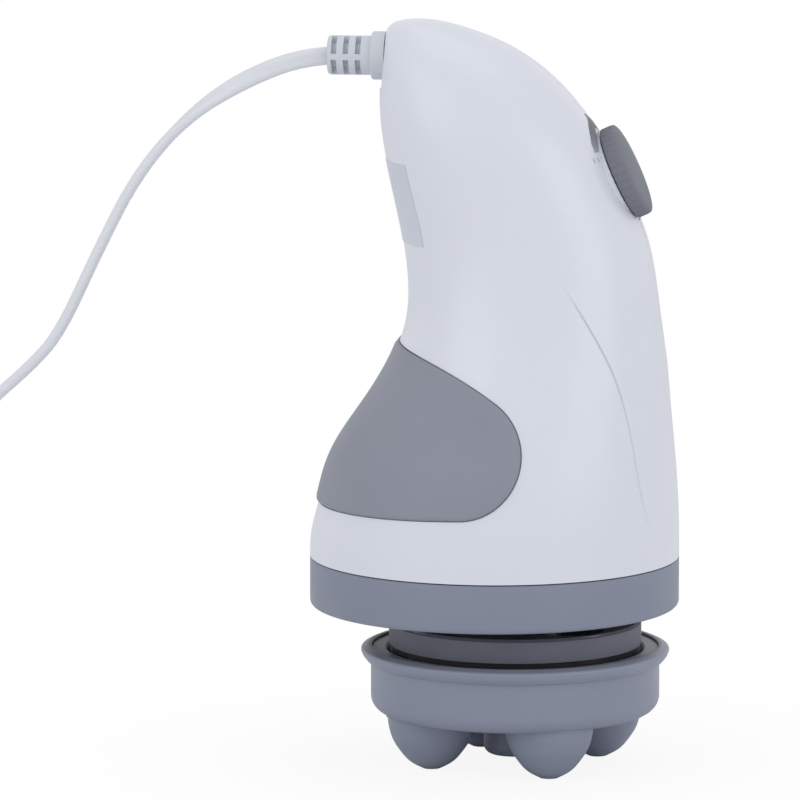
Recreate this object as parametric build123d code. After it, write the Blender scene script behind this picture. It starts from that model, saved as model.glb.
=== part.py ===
from build123d import *
import math
import os

# Handheld anti-cellulite massager with an orbiting massage head. All sizes are in millimetres.
# +Z is up. The origin lies on the motor axis, at the floor that the head's domes stand on.
# -X is the side where the mains cord leaves, +X the side of the speed dial.
# The casing splits on the plane Y = 0, and the half on -Y is the one without screw holes.

# Clearances and cuts
overrun = 150.0
running_fit = 0.05
thread_fit = 0.04
seat_gap = 0.3
joint_gap = 0.35
face_gap = 0.2

# Turns in degrees
full_turn = 360.0
quarter = 90.0
facing_sides = (0.0, 180.0)
crossing_sides = (90.0, 270.0)

# Casing
body_radius = 53.0
body_height = 154.1
wall = 2.8
ring_bottom = 46.3
ring_height = 14.3
ring_wall = 3.0
ring_edge_round = 2.2
ring_ledge_height = 2.5
ring_ledge_width = 4.8
spigot_height = 4.0
spigot_wall = 2.0
ring_top = ring_bottom + ring_height

# Each row gives the height as a share of body_height, the left edge, the right edge and the half width
# as shares of body_radius, and the squareness, which is 2 for an ellipse.
body_outline_shares = [
    (0.000, -1.000, 1.000, 1.000, 2.00),
    (0.045, -0.992, 1.000, 0.996, 2.00),
    (0.090, -0.960, 0.996, 0.985, 2.02),
    (0.187, -0.879, 0.977, 0.934, 2.08),
    (0.283, -0.704, 0.951, 0.849, 2.14),
    (0.367, -0.557, 0.928, 0.764, 2.20),
    (0.444, -0.477, 0.898, 0.689, 2.22),
    (0.521, -0.466, 0.868, 0.632, 2.25),
    (0.605, -0.498, 0.813, 0.594, 2.25),
    (0.689, -0.551, 0.709, 0.575, 2.25),
    (0.766, -0.596, 0.606, 0.562, 2.22),
    (0.830, -0.619, 0.481, 0.528, 2.20),
    (0.882, -0.621, 0.351, 0.472, 2.15),
    (0.927, -0.617, 0.194, 0.392, 2.10),
    (0.962, -0.609, 0.017, 0.292, 2.05),
    (0.985, -0.592, -0.168, 0.196, 2.00),
    (1.000, -0.491, -0.349, 0.094, 2.00),
]
section_steps = 20

# Casing screws and the columns that they stand in
column_radius = 4.0
feature_skin = 0.8
case_screw_radius = 1.5
case_screw_head_radius = 3.0
case_screw_head_height = 2.2
case_screw_seat = 9.0
case_screw_length = 21.0
case_pilot_depth = 14.0
# Each pair is the column's X and its height above ring_top, as shares of body_radius and body_height.
column_place_shares = [
    (0.715, 0.112),
    (-0.715, 0.150),
    (0.715, 0.444),
    (-0.300, 0.560),
    (0.236, 0.872),
    (-0.435, 0.818),
]

# Soft grip pad, its outline in the side view
pad_proud = 1.0
pad_depth = 1.4
pad_rim_gap = 0.3
pad_nose_radius = 17.8
pad_nose_x = -4.9
pad_nose_height = 35.3
pad_apex_x = -26.0
pad_apex_height = 62.6
pad_shoulder_angle = 53.0
pad_crown_bulge = 1.9
pad_foot_x = -49.5
pad_foot_height = 15.8

# Blank rating label
label_thickness = 0.2
label_half_width = 21.8
label_low_share = 0.5931
label_high_share = 0.7443
label_front_x = -5.0
label_low = ring_top + label_low_share * body_height
label_high = ring_top + label_high_share * body_height

# Chassis plate, its screws and the pegs that stop the head from turning
plate_thickness = 3.0
plate_recess = 6.7
plate_radius = body_radius - ring_wall - seat_gap
plate_hole_radius = 8.5
chassis_screw_circle_share = 0.7547
chassis_screw_radius = 1.6
chassis_screw_head_radius = 3.0
chassis_screw_head_height = 2.2
chassis_screw_length = 13.0
chassis_column_radius = 4.4
chassis_column_height = 24.0
chassis_rib_width = 2.4
chassis_rib_low = 10.5
peg_circle = 24.0
peg_radius = 4.0
peg_end_gap = 1.0
peg_boss_radius = 6.2
peg_boss_height = 2.5
vent_radius = 3.5
vent_circle = 33.0
vent_count = 8
peg_turn = 45.0
chassis_screw_circle = chassis_screw_circle_share * body_radius
plate_low = ring_bottom + plate_recess
plate_high = plate_low + plate_thickness

# Motor
shaft_radius = 2.5
shaft_bottom = 44.9
shaft_top = 134.0
bolt_circle = 17.75
bolt_radius = 1.6
bolt_head_radius = 2.8
bolt_head_height = 2.0
bracket_flange_height = 3.0
bracket_flange_half_width = 9.0
bracket_radius = 20.0
bracket_leg_inner = 15.5
bracket_leg_half_angle = 18.0
lower_hub_radius = 10.5
lower_hub_height = 7.5
bearing_lip = 1.5
bearing_lip_radius = 5.5
lower_bearing_radius = 8.0
lower_bearing_width = 5.0
fan_low = 66.0
fan_height = 8.0
fan_radius = 14.6
fan_hub_radius = 5.0
fan_disc = 1.4
fan_blade = 1.2
fan_blade_count = 9
stator_low = 84.0
stator_length = 26.0
stator_radius = 20.0
stator_yoke_inner = 16.5
pole_face_radius = 11.0
pole_shoe = 2.3
pole_shoe_half_angle = 55.0
pole_neck_half_width = 4.0
coil_inner = 13.7
coil_outer = 16.2
coil_half_angle = 38.0
coil_overhang = 5.0
winding_gap = 0.3
core_radius = 10.4
core_slot_count = 9
core_slot_width = 1.8
core_slot_floor = 5.5
winding_inner = 3.4
winding_radius = 9.4
winding_overhang = 6.0
winding_round = 1.5
commutator_radius = 6.0
commutator_low = 117.2
commutator_length = 8.6
commutator_bars = 12
commutator_groove = 0.4
upper_bracket_flange_low = 128.0
upper_bracket_flange_height = 3.0
upper_bracket_half_width = 18.4
upper_hub_radius = 8.6
upper_hub_low = 126.2
upper_hub_high = 132.8
upper_bearing_radius = 6.5
upper_bearing_width = 5.0
brush_gap = 0.35
brush_width = 4.0
brush_height = 5.2
brush_length = 6.5
holder_inner_x = 7.3
holder_outer_x = 17.2
holder_half_width = 3.4
holder_low = 117.6
brush_level = 121.4
spring_radius = 1.5
spring_wire = 0.35
holder_end_wall = 1.0
spring_turns = 5

# Eccentric drive
throw = 6.0
eccentric_low = 44.2
eccentric_disc = 4.0
eccentric_top = 52.0
eccentric_hub_radius = 7.0
crank_boss_radius = 6.5
crank_radius = 4.0
crank_shoulder_radius = 5.5
weight_radius = 18.5
weight_top = 50.4
weight_collar_radius = 10.0
grub_radius = 1.5
grub_length = 7.0
head_bearing_radius = 11.0
head_bearing_width = 7.0
bearing_race = 2.2
bearing_inner_gap = 0.25
crank_screw_radius = 2.0
crank_screw_length = 9.0
crank_screw_head_radius = 3.5
crank_screw_head_height = 2.6
washer_radius = 5.4
washer_thickness = 1.0

# Orbiting drum
drum_radius = 36.3
drum_top = 42.0
drum_wall = 2.5
drum_top_thickness = 2.8
drum_edge_round = 0.8
drum_groove_low = 33.2
drum_groove_high = 35.2
drum_groove_depth = 1.5
drum_hub_radius = 13.2
drum_hub_height = 11.1
drum_lip_height = 1.9
drum_lip_radius = 9.4
pocket_gap = 0.4
pocket_wall = 1.6
clip_thickness = 1.0
clip_width = 2.0
clip_groove = 0.7
snap_level = 24.0
snap_section_radius = 1.25
snap_groove_depth = 2.3
snap_groove_width = 2.7
snap_squeeze_gap = 0.1

# Massage head
cup_radius = 41.5
cup_wall = 2.2
cup_bottom = 15.3
cup_floor = 2.6
cup_corner_round = 4.6
lip_radius = 44.3
lip_top = 34.0
lip_height = 1.0
lip_flare = 3.2
lip_round = 0.6
ledge_radius = 41.2
ledge_level = 31.8
clip_ring_flange_gap = 0.2
clip_ring_top = 33.8
clip_ring_wall = 1.9
clip_ring_chamfer = 0.7
dome_circle = 25.8
dome_turn = 28.4
dome_count = 4
dome_radius = 12.4
dome_bulge_share = 0.713
dome_drop_share = 0.700
dome_wall = 2.4
nub_radius = 2.85
nub_height = 0.8
nub_edge_round = 0.3
centre_boss_radius = 9.0
centre_boss_bottom = 2.6
centre_boss_wall = 2.4
centre_boss_round = 1.6

# Speed dial and its potentiometer
dial_x_share = 0.681
dial_z_share = 0.7184
dial_tilt = 24.5
dial_radius = 13.7
dial_height = 4.6
dial_crown = 1.1
dial_wall = 1.8
dial_hub_radius = 5.2
dial_ridge_count = 36
dial_ridge_depth = 0.45
dial_ridge_gap_share = 0.3
dial_ridge_slope_share = 0.15
seat_depth = 0.9
seat_rim_gap = 0.8
collar_radius = 12.8
pot_body_radius = 8.0
pot_body_length = 8.0
pot_bush_radius = 3.5
pot_bush_rise = 1.7
pot_shaft_radius = 3.0
pot_shaft_rise = 3.4
pot_shaft_depth = 5.0
nut_radius = 5.0
nut_thickness = 1.6
nut_sides = 6
dial_x = dial_x_share * body_radius
dial_z = ring_top + dial_z_share * body_height
seat_radius = dial_radius + seat_rim_gap

# Control board
board_length = 38.0
board_width = 30.0
board_thickness = 1.6
heat_sink_length = 16.0
heat_sink_width = 9.0
heat_sink_height = 11.0
heat_sink_base = 2.0
heat_sink_fins = 4
heat_sink_fin = 0.9
heat_sink_y = -8.0
heat_sink_rise = -8.0
capacitor_length = 17.0
capacitor_width = 7.0
capacitor_height = 12.0
capacitor_y = 9.0
capacitor_rise = -3.0
terminal_length = 8.0
terminal_width = 10.0
terminal_height = 9.0
terminal_rise = 12.0
terminal_y = -2.0

# Cord inlet
cord_height_share = 0.9312
cord_width = 5.2
cord_thickness = 3.3
inlet_face_share = 0.5906
inlet_recess_half = 8.6
inlet_recess_low_share = 0.8715
inlet_hole_radius = 3.6
inlet_neck_length = 1.6
relief_flange_length = 4.0
relief_flange_radius = 6.9
relief_length = 12.6
relief_radius = 5.6
relief_core_radius = 3.7
relief_bore_depth = 6.3
relief_slot_length = 1.55
relief_slot_count = 3
relief_first_slot = 1.3
relief_slot_pitch = 3.45
relief_spine_half = 0.85
relief_inner_length = 1.8
relief_inner_radius = 5.0
clamp_share = 0.3774
clamp_length = 5.0
clamp_half_width = 6.2
clamp_thickness = 1.4
clamp_screw_y = 4.3
clamp_screw_radius = 0.9
clamp_screw_head_radius = 1.7
clamp_screw_head_height = 0.9
clamp_screw_length = 5.0
clamp_screw_shank = 4.0
ledge_thickness = 4.0
inner_lead_turn_radius = 14.0
cord_height = ring_top + cord_height_share * body_height
inlet_recess_low = ring_top + inlet_recess_low_share * body_height
inlet_face_x = -inlet_face_share * body_radius
clamp_x = -clamp_share * body_radius

# Motor leads, as thin insulated wires
wire_radius = 0.9
wire_y = 2.2
wire_start_rise = -11.0
wire_stub = 6.0
wire_bend_radius = 2.2
wire_right_x = 22.6
wire_left_x = -20.6
wire_bridge_height = 139.0

# Mains cord outside the casing. The flat twin cord is drawn as a tube of its width.
cord_radius = cord_width / 2
relief_end_x = inlet_face_x - relief_flange_length - relief_length
lead_straight = 5.7
coil_x = -214.0
coil_entry_y = 22.0
coil_mean_radius = 31.0
coil_turns = 7.0
coil_layers = 4
coil_spacing = 0.6
plug_entry_x = -268.0
plug_y = 24.0

# Plug
plug_thickness = 13.7
plug_body_length = 34.0
plug_body_width = 33.0
plug_waist_width = 15.0
plug_front_width = 26.0
plug_round = 2.0
plug_neck_length = 15.0
plug_neck_radius = 4.6
plug_pin_spacing = 18.6
plug_pin_radius = 2.0
plug_pin_length = 19.0
plug_pin_socket = 6.0
plug_pin_root_radius = 1.6

os.makedirs("parts", exist_ok=True)


def save(shape, node):
    export_step(shape, f"parts/{node}.step")


def group(solids):
    return Compound(children=list(solids))


def rod(radius, low, high, x=0.0, y=0.0):
    upright = (Align.CENTER, Align.CENTER, Align.MIN)
    return Pos(x, y, low) * Cylinder(radius, high - low, align=upright)


def sleeve(outer, inner, low, high, x=0.0, y=0.0):
    return rod(outer, low, high, x, y) - rod(inner, low, high, x, y)


def block(x_low, x_high, y_low, y_high, z_low, z_high):
    corner = (Align.MIN, Align.MIN, Align.MIN)
    size = Box(x_high - x_low, y_high - y_low, z_high - z_low, align=corner)
    return Pos(x_low, y_low, z_low) * size


def lathe(outline, x=0.0, y=0.0):
    face = Plane.XZ * make_face(outline)
    return Pos(x, y, 0) * revolve(face, Axis.Z)


def turned(points, x=0.0, y=0.0):
    return lathe(Polyline(*points, close=True), x, y)


def polar(radius, angle):
    turn = math.radians(angle)
    return radius * math.cos(turn), radius * math.sin(turn)


def sector(outer, inner, half_angle, middle_angle, low, high):
    reach = outer / math.cos(math.radians(half_angle)) + outer
    edge_a = polar(reach, middle_angle - half_angle)
    edge_b = polar(reach, middle_angle + half_angle)
    tip = polar(reach, middle_angle)
    wedge = make_face(Polyline((0, 0), edge_a, tip, edge_b, close=True))
    prism = Pos(0, 0, low) * extrude(wedge, high - low)
    return sleeve(outer, inner, low, high) & prism


def section_at(share_row, grow):
    height_share, left_share, right_share, width_share, squareness = share_row
    height = ring_top + height_share * (body_height + grow)
    half_length = (right_share - left_share) * body_radius / 2 + grow
    half_width = width_share * body_radius + grow
    middle = (right_share + left_share) * body_radius / 2
    points = []
    for step in range(section_steps):
        turn = math.tau * step / section_steps
        along = math.copysign(abs(math.cos(turn)) ** (2 / squareness), math.cos(turn))
        across = math.copysign(abs(math.sin(turn)) ** (2 / squareness), math.sin(turn))
        points.append((middle + half_length * along, half_width * across, height))
    return Wire([Edge.make_spline([Vector(*p) for p in points], periodic=True)])


def body_form(grow=0.0):
    # The cavity stops one station short of the crown, which leaves the roof its thickness.
    rows = body_outline_shares if grow >= 0 else body_outline_shares[:-1]
    return Solid.make_loft([section_at(row, grow) for row in rows])


def casing_half(side):
    low, high = (-overrun, 0.0) if side < 0 else (0.0, overrun)
    return block(-overrun, overrun, low, high, 0.0, 2 * overrun)


def pad_outline():
    nose_z = ring_top + pad_nose_height
    shoulder_x, shoulder_rise = polar(pad_nose_radius, pad_shoulder_angle)
    shoulder = (pad_nose_x + shoulder_x, nose_z + shoulder_rise)
    nose = (pad_nose_x + pad_nose_radius, nose_z)
    heel = (pad_nose_x, nose_z - pad_nose_radius)
    apex = (pad_apex_x, ring_top + pad_apex_height)
    foot = (pad_foot_x, ring_top + pad_foot_height)
    outside_x = -2 * body_radius
    fall = (heel[1] - foot[1]) / (heel[0] - foot[0])
    far_foot = (outside_x, foot[1] + fall * (outside_x - foot[0]))
    far_apex = (outside_x, apex[1])
    crown = ((apex[0] + shoulder[0]) / 2, (apex[1] + shoulder[1]) / 2 + pad_crown_bulge)
    edges = [
        Line(far_foot, far_apex),
        Line(far_apex, apex),
        ThreePointArc(apex, crown, shoulder),
        ThreePointArc(shoulder, nose, heel),
        Line(heel, far_foot),
    ]
    return make_face(Curve() + edges)


def pad_prism(grow):
    face = offset(pad_outline(), grow) if grow else pad_outline()
    return extrude(Plane.XZ * face, body_radius + overrun / 2, both=True)


def column_places():
    return [(x * body_radius, ring_top + z * body_height) for x, z in column_place_shares]


def cross_rod(radius, y_low, y_high, x, z):
    sideways = Rot(X=-90) * rod(radius, y_low, y_high)
    return Pos(x, 0, z) * sideways


def chassis_column_places():
    return [polar(chassis_screw_circle, peg_turn + quarter * i) for i in range(4)]


def dial_frame():
    tilt = math.radians(dial_tilt)
    return Plane(origin=(dial_x, 0, dial_z), x_dir=(0, 1, 0), z_dir=(math.cos(tilt), 0, math.sin(tilt)))


def at_dial(shape):
    return dial_frame().location * shape


def dial_point(across, rise, out):
    point = dial_frame().from_local_coords(Vector(across, rise, out))
    return point.X, point.Y, point.Z


def inner_features():
    features = []
    for x, z in column_places():
        features.append(cross_rod(column_radius, -2 * body_radius, 2 * body_radius, x, z))
    low = plate_high + face_gap
    for x, y in chassis_column_places():
        turn = math.degrees(math.atan2(y, x))
        features.append(rod(chassis_column_radius, low, low + chassis_column_height, x, y))
        rib = block(
            chassis_screw_circle,
            body_radius,
            -chassis_rib_width / 2,
            chassis_rib_width / 2,
            low + chassis_rib_low,
            low + chassis_column_height,
        )
        features.append(Rot(Z=turn) * rib)
    return features


def clamp_shelf():
    # The shelf grows from the wall on +Y and reaches across the middle plane, under the whole clamp.
    top = cord_height - cord_thickness / 2 - running_fit
    half = clamp_length / 2
    return block(clamp_x - half, clamp_x + half, -clamp_half_width, body_radius, top - ledge_thickness, top)


def clamp_pilot_holes():
    top = cord_height - cord_thickness / 2
    radius = clamp_screw_radius + thread_fit
    return [rod(radius, top - clamp_screw_length, top, clamp_x, side * clamp_screw_y) for side in (-1, 1)]


def casing_cuts():
    # The holes of the screws, the dial's seat, the cord inlet and the pad's bed, for both halves.
    cuts = []
    for x, y in chassis_column_places():
        low = plate_high
        depth = chassis_screw_length + face_gap
        cuts.append(rod(chassis_screw_radius + thread_fit, low, low + depth, x, y))
    cuts.append(
        block(
            -2 * body_radius,
            inlet_face_x,
            -inlet_recess_half,
            inlet_recess_half,
            inlet_recess_low,
            2 * overrun,
        )
    )
    inlet = Rot(Y=90) * rod(inlet_hole_radius, -wall, wall)
    cuts.append(Pos(inlet_face_x, 0, cord_height) * inlet)
    spot_face = Rot(Y=90) * rod(relief_inner_radius + seat_gap, 0, 2 * wall)
    cuts.append(Pos(inlet_face_x + inlet_neck_length, 0, cord_height) * spot_face)
    cuts.append(at_dial(rod(seat_radius, -seat_depth, dial_height)))
    cuts.append(at_dial(rod(pot_bush_radius + running_fit, -2 * wall, wall)))
    return cuts


def make_casing():
    outer = body_form()
    cavity = body_form(-wall)
    features = Part() + inner_features()
    features = features & body_form(-feature_skin)
    collar = at_dial(rod(collar_radius, -seat_depth - wall, -seat_depth))
    pot_room = at_dial(rod(pot_body_radius + 2 * seat_gap, -2 * wall - pot_body_length, -seat_depth - wall))
    shell = (outer - cavity) + features + collar - pot_room
    for cut in casing_cuts():
        shell = shell - cut
    bed = pad_prism(0.0) & (outer - body_form(-pad_depth - running_fit))
    shell = shell - bed
    halves = {}
    for side, name in ((-1, "housing_left"), (1, "housing_right")):
        half = shell & casing_half(side)
        for x, z in column_places():
            if side < 0:
                half = half - cross_rod(case_screw_radius + thread_fit, -case_pilot_depth, 0.0, x, z)
            else:
                half = half - cross_rod(case_screw_radius + face_gap, 0.0, case_screw_seat, x, z)
                socket = case_screw_head_radius + face_gap
                half = half - cross_rod(socket, case_screw_seat, 2 * body_radius, x, z)
        if side > 0:
            half = half + (clamp_shelf() & body_form(-feature_skin)) - clamp_pilot_holes()
        halves[name] = half
    return halves


def make_case_screws():
    screws = []
    for x, z in column_places():
        tip = case_screw_seat - case_screw_length
        shank = cross_rod(case_screw_radius, tip, case_screw_seat, x, z)
        head_top = case_screw_seat + case_screw_head_height
        head = cross_rod(case_screw_head_radius, case_screw_seat, head_top, x, z)
        cross = case_screw_head_radius / 3
        slot = block(-2 * cross, 2 * cross, case_screw_seat + cross, overrun, -cross / 3, cross / 3)
        screws.append(shank + head - Pos(x, 0, z) * slot - Pos(x, 0, z) * Rot(Y=90) * slot)
    return screws


def make_grip_pad():
    skin = body_form(pad_proud) - body_form(-pad_depth)
    return pad_prism(-pad_rim_gap) & skin


def make_label():
    half = label_half_width
    window = block(-2 * body_radius, label_front_x, -half, half, label_low, label_high)
    return (body_form(label_thickness) - body_form()) & window


def make_base_ring():
    # The chassis plate is screwed up against the ring's ledge, which clamps the ring to the casing.
    outer = body_radius
    inner = body_radius - ring_wall
    ledge = inner - ring_ledge_width
    ledge_top = plate_high + ring_ledge_height
    spigot = body_radius - wall - joint_gap
    profile = [
        (outer, ring_bottom),
        (outer, ring_top),
        (spigot, ring_top),
        (spigot, ring_top + spigot_height),
        (spigot - spigot_wall, ring_top + spigot_height),
        (spigot - spigot_wall, ledge_top),
        (ledge, ledge_top),
        (ledge, plate_high),
        (inner, plate_high),
        (inner, ring_bottom),
    ]
    ring = turned(profile)
    rims = ring.edges().filter_by(GeomType.CIRCLE).group_by(Axis.Z)[0]
    return fillet(rims.sort_by(SortBy.RADIUS)[-1], ring_edge_round)


def make_chassis():
    plate = rod(plate_radius, plate_low, plate_high) - rod(plate_hole_radius, plate_low, plate_high)
    for i in range(4):
        x, y = polar(peg_circle, peg_turn + quarter * i)
        plate = plate + rod(peg_boss_radius, plate_high, plate_high + peg_boss_height, x, y)
    for i in range(4):
        x, y = polar(peg_circle, peg_turn + quarter * i)
        plate = plate - rod(peg_radius + running_fit, plate_low, plate_high + peg_boss_height, x, y)
    for x, y in chassis_column_places():
        plate = plate - rod(chassis_screw_radius + face_gap, plate_low, plate_high, x, y)
    for side in (-1, 1):
        plate = plate - rod(bolt_radius + face_gap, plate_low, plate_high, 0, side * bolt_circle)
    for i in range(vent_count):
        x, y = polar(vent_circle, (i + 0.5) * full_turn / vent_count)
        plate = plate - rod(vent_radius, plate_low, plate_high, x, y)
    return plate


def make_chassis_screws():
    screws = []
    for x, y in chassis_column_places():
        head = rod(chassis_screw_head_radius, plate_low - chassis_screw_head_height, plate_low, x, y)
        screws.append(head + rod(chassis_screw_radius, plate_low, plate_low + chassis_screw_length, x, y))
    return screws


def pocket_floor():
    return drum_top - drum_hub_height + drum_lip_height


def make_guide_pegs():
    low = pocket_floor() + peg_end_gap
    pegs = []
    for i in range(4):
        x, y = polar(peg_circle, peg_turn + quarter * i)
        peg = rod(peg_radius, low, plate_high + peg_boss_height, x, y)
        pegs.append(chamfer(peg.edges().group_by(Axis.Z)[0], peg_radius / 6))
    return pegs


def bolt_holes(radius, low, high):
    return [rod(radius, low, high, 0, side * bolt_circle) for side in (-1, 1)]


def bracket_legs(low, high):
    return [
        sector(bracket_radius, bracket_leg_inner, bracket_leg_half_angle, middle, low, high)
        for middle in crossing_sides
    ]


def make_lower_bracket():
    low = plate_high
    flange_top = low + bracket_flange_height
    width = bracket_flange_half_width
    flange = rod(bracket_radius, low, flange_top)
    flange = flange & block(-width, width, -overrun, overrun, low, flange_top)
    bracket = flange + rod(lower_hub_radius, low, low + lower_hub_height)
    for leg in bracket_legs(low, stator_low):
        bracket = bracket + leg
    bracket = bracket - rod(bearing_lip_radius, low, low + bearing_lip)
    bracket = bracket - rod(lower_bearing_radius + running_fit, low + bearing_lip, low + lower_hub_height)
    for hole in bolt_holes(bolt_radius + face_gap, low, stator_low):
        bracket = bracket - hole
    return bracket


def make_upper_bracket():
    low = upper_bracket_flange_low
    high = low + upper_bracket_flange_height
    plate = rod(bracket_radius, low, high) + rod(upper_hub_radius, upper_hub_low, upper_hub_high)
    for leg in bracket_legs(stator_low + stator_length, high):
        plate = plate + leg
    half = upper_bracket_half_width
    plate = plate & block(-half, half, -overrun, overrun, 0, 2 * overrun)
    seat = upper_hub_low + bearing_lip / 2
    plate = plate - rod(bearing_lip_radius, upper_hub_low, seat)
    plate = plate - rod(upper_bearing_radius + running_fit, seat, upper_hub_high)
    for hole in bolt_holes(bolt_radius + thread_fit, stator_low, high):
        plate = plate - hole
    return plate


def make_motor_bolts():
    bolts = []
    for side in (-1, 1):
        y = side * bolt_circle
        head = rod(bolt_head_radius, plate_low - bolt_head_height, plate_low, 0, y)
        top = upper_bracket_flange_low + upper_bracket_flange_height
        bolts.append(head + rod(bolt_radius, plate_low, top, 0, y))
    return bolts


def ball_bearing(outer, inner, low, width, x=0.0):
    race = min(bearing_race, (outer - inner) / 3)
    ball_radius = (outer - inner) / 2 - race / 2
    track = (outer + inner) / 2
    solids = [
        sleeve(outer, outer - race, low, low + width, x),
        sleeve(inner + race, inner, low, low + width, x),
    ]
    # A shield closes the gap between the races and carries them both, as on a sealed bearing.
    shield = sleeve(track + ball_radius, track - ball_radius, low, low + width, x)
    step = bearing_inner_gap
    trim = rod(outer, low, low + step, x) + rod(outer, low + width - step, low + width, x)
    return (Part() + solids) + (shield - trim)


def make_stator():
    low = stator_low
    high = low + stator_length
    core = sleeve(stator_radius, stator_yoke_inner, low, high)
    shoe_outer = pole_face_radius + pole_shoe
    for middle in facing_sides:
        core = core + sector(shoe_outer, pole_face_radius, pole_shoe_half_angle, middle, low, high)
        reach = (stator_yoke_inner + stator_radius) / 2
        half = pole_neck_half_width
        neck = block(pole_face_radius + pole_shoe / 2, reach, -half, half, low, high)
        core = core + Rot(Z=middle) * neck
    for hole in bolt_holes(bolt_radius + face_gap, low, high):
        core = core - hole
    return core


def make_field_coils():
    coils = []
    low = stator_low
    high = low + stator_length
    for middle in facing_sides:
        coil_low = low - coil_overhang
        coil_high = high + coil_overhang
        coil = sector(coil_outer, coil_inner, coil_half_angle, middle, coil_low, coil_high)
        half = pole_neck_half_width + winding_gap
        window = block(0, stator_radius, -half, half, low - winding_gap, high + winding_gap)
        coils.append(coil - Rot(Z=middle) * window)
    return coils


def armature_slots(width, outer, low, high):
    slots = []
    for i in range(core_slot_count):
        bar = block(core_slot_floor, outer, -width / 2, width / 2, low, high)
        slots.append(Rot(Z=i * full_turn / core_slot_count) * bar)
    return slots


def make_armature_core():
    low = stator_low
    high = low + stator_length
    core = sleeve(core_radius, shaft_radius + running_fit, low, high)
    for slot in armature_slots(core_slot_width, stator_radius, low, high):
        core = core - slot
    return core


def make_armature_winding():
    low = stator_low - winding_gap
    high = stator_low + stator_length + winding_gap
    gap = 2 * thread_fit
    rings = []
    for ring_low, ring_high in ((low - winding_overhang, low), (high, high + winding_overhang)):
        ring = sleeve(winding_radius, winding_inner, ring_low, ring_high)
        rings.append(fillet(ring.edges().filter_by(GeomType.CIRCLE), winding_round))
    winding = rings[0] + rings[1]
    bar_outer = winding_radius - winding_round
    bar_width = core_slot_width - 2 * gap
    for bar in armature_slots(bar_width, bar_outer, low - winding_round, high + winding_round):
        winding = winding + bar
    return winding - rod(core_slot_floor + gap, low, high)


def make_commutator():
    high = commutator_low + commutator_length
    barrel = sleeve(commutator_radius, shaft_radius + running_fit, commutator_low, high)
    for i in range(commutator_bars):
        groove = block(
            commutator_radius - 2 * commutator_groove,
            stator_radius,
            -commutator_groove / 2,
            commutator_groove / 2,
            commutator_low,
            high,
        )
        barrel = barrel - Rot(Z=i * full_turn / commutator_bars) * groove
    return barrel


def make_fan():
    high = fan_low + fan_height
    fan = rod(fan_radius, fan_low, fan_low + fan_disc) + rod(fan_hub_radius, fan_low, high)
    for i in range(fan_blade_count):
        blade = block(fan_hub_radius / 2, fan_radius, -fan_blade / 2, fan_blade / 2, fan_low, high)
        lean = Rot(Z=i * full_turn / fan_blade_count) * Pos(0, fan_hub_radius / 2, 0) * blade
        fan = fan + (lean & rod(fan_radius, fan_low, high))
    return fan - rod(shaft_radius + running_fit, fan_low, high)


def make_brushes():
    brushes = []
    for side in facing_sides:
        tip = commutator_radius + brush_gap
        low = brush_level - brush_height / 2
        brush = block(0, tip + brush_length, -brush_width / 2, brush_width / 2, low, low + brush_height)
        brush = brush - rod(tip, low, low + brush_height)
        brushes.append(Rot(Z=side) * brush)
    return brushes


def make_brush_holders():
    holders = []
    for side in facing_sides:
        body = block(
            holder_inner_x,
            holder_outer_x,
            -holder_half_width,
            holder_half_width,
            holder_low,
            upper_bracket_flange_low,
        )
        half = brush_width / 2 + running_fit
        low = brush_level - brush_height / 2 - running_fit
        end_wall = holder_outer_x - holder_end_wall
        channel = block(0, end_wall, -half, half, low, low + brush_height + 2 * running_fit)
        hub_room = rod(upper_hub_radius + seat_gap, upper_hub_low - seat_gap, upper_bracket_flange_low)
        holders.append(Rot(Z=side) * (body - channel - hub_room))
    return holders


def make_brush_springs():
    # Each spring is a helix pressed between the brush and the holder's end wall.
    start = commutator_radius + brush_gap + brush_length + spring_wire + running_fit
    end = holder_outer_x - holder_end_wall - spring_wire - running_fit
    springs = []
    for side in facing_sides:
        line = Helix(pitch=(end - start) / spring_turns, height=end - start, radius=spring_radius)
        section = Plane(origin=line @ 0, z_dir=line % 0) * Circle(spring_wire)
        spring = sweep(section, path=line)
        springs.append(Rot(Z=side) * (Pos(start, 0, brush_level) * (Rot(Y=90) * spring)))
    return springs


def make_eccentric():
    disc_top = eccentric_low + eccentric_disc
    disc = rod(eccentric_hub_radius, eccentric_low, disc_top)
    disc = disc + rod(crank_boss_radius, eccentric_low, disc_top, throw)
    disc = disc + rod(eccentric_hub_radius, disc_top, eccentric_top)
    bearing_top = pocket_floor() + face_gap / 2 + head_bearing_width
    disc = disc + rod(crank_shoulder_radius, bearing_top + face_gap, eccentric_low, throw)
    disc = disc + rod(crank_radius - running_fit, pocket_floor() + face_gap / 2, eccentric_low, throw)
    disc = disc - rod(shaft_radius + thread_fit / 2, shaft_bottom, eccentric_top)
    hole_low = pocket_floor()
    disc = disc - rod(crank_screw_radius + thread_fit, hole_low, hole_low + crank_screw_length, throw)
    grub = Pos(0, 0, grub_level()) * (Rot(Y=-90) * rod(grub_radius + thread_fit, 0, eccentric_hub_radius))
    return disc - grub


def grub_level():
    return (eccentric_low + eccentric_disc + eccentric_top) / 2


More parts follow.
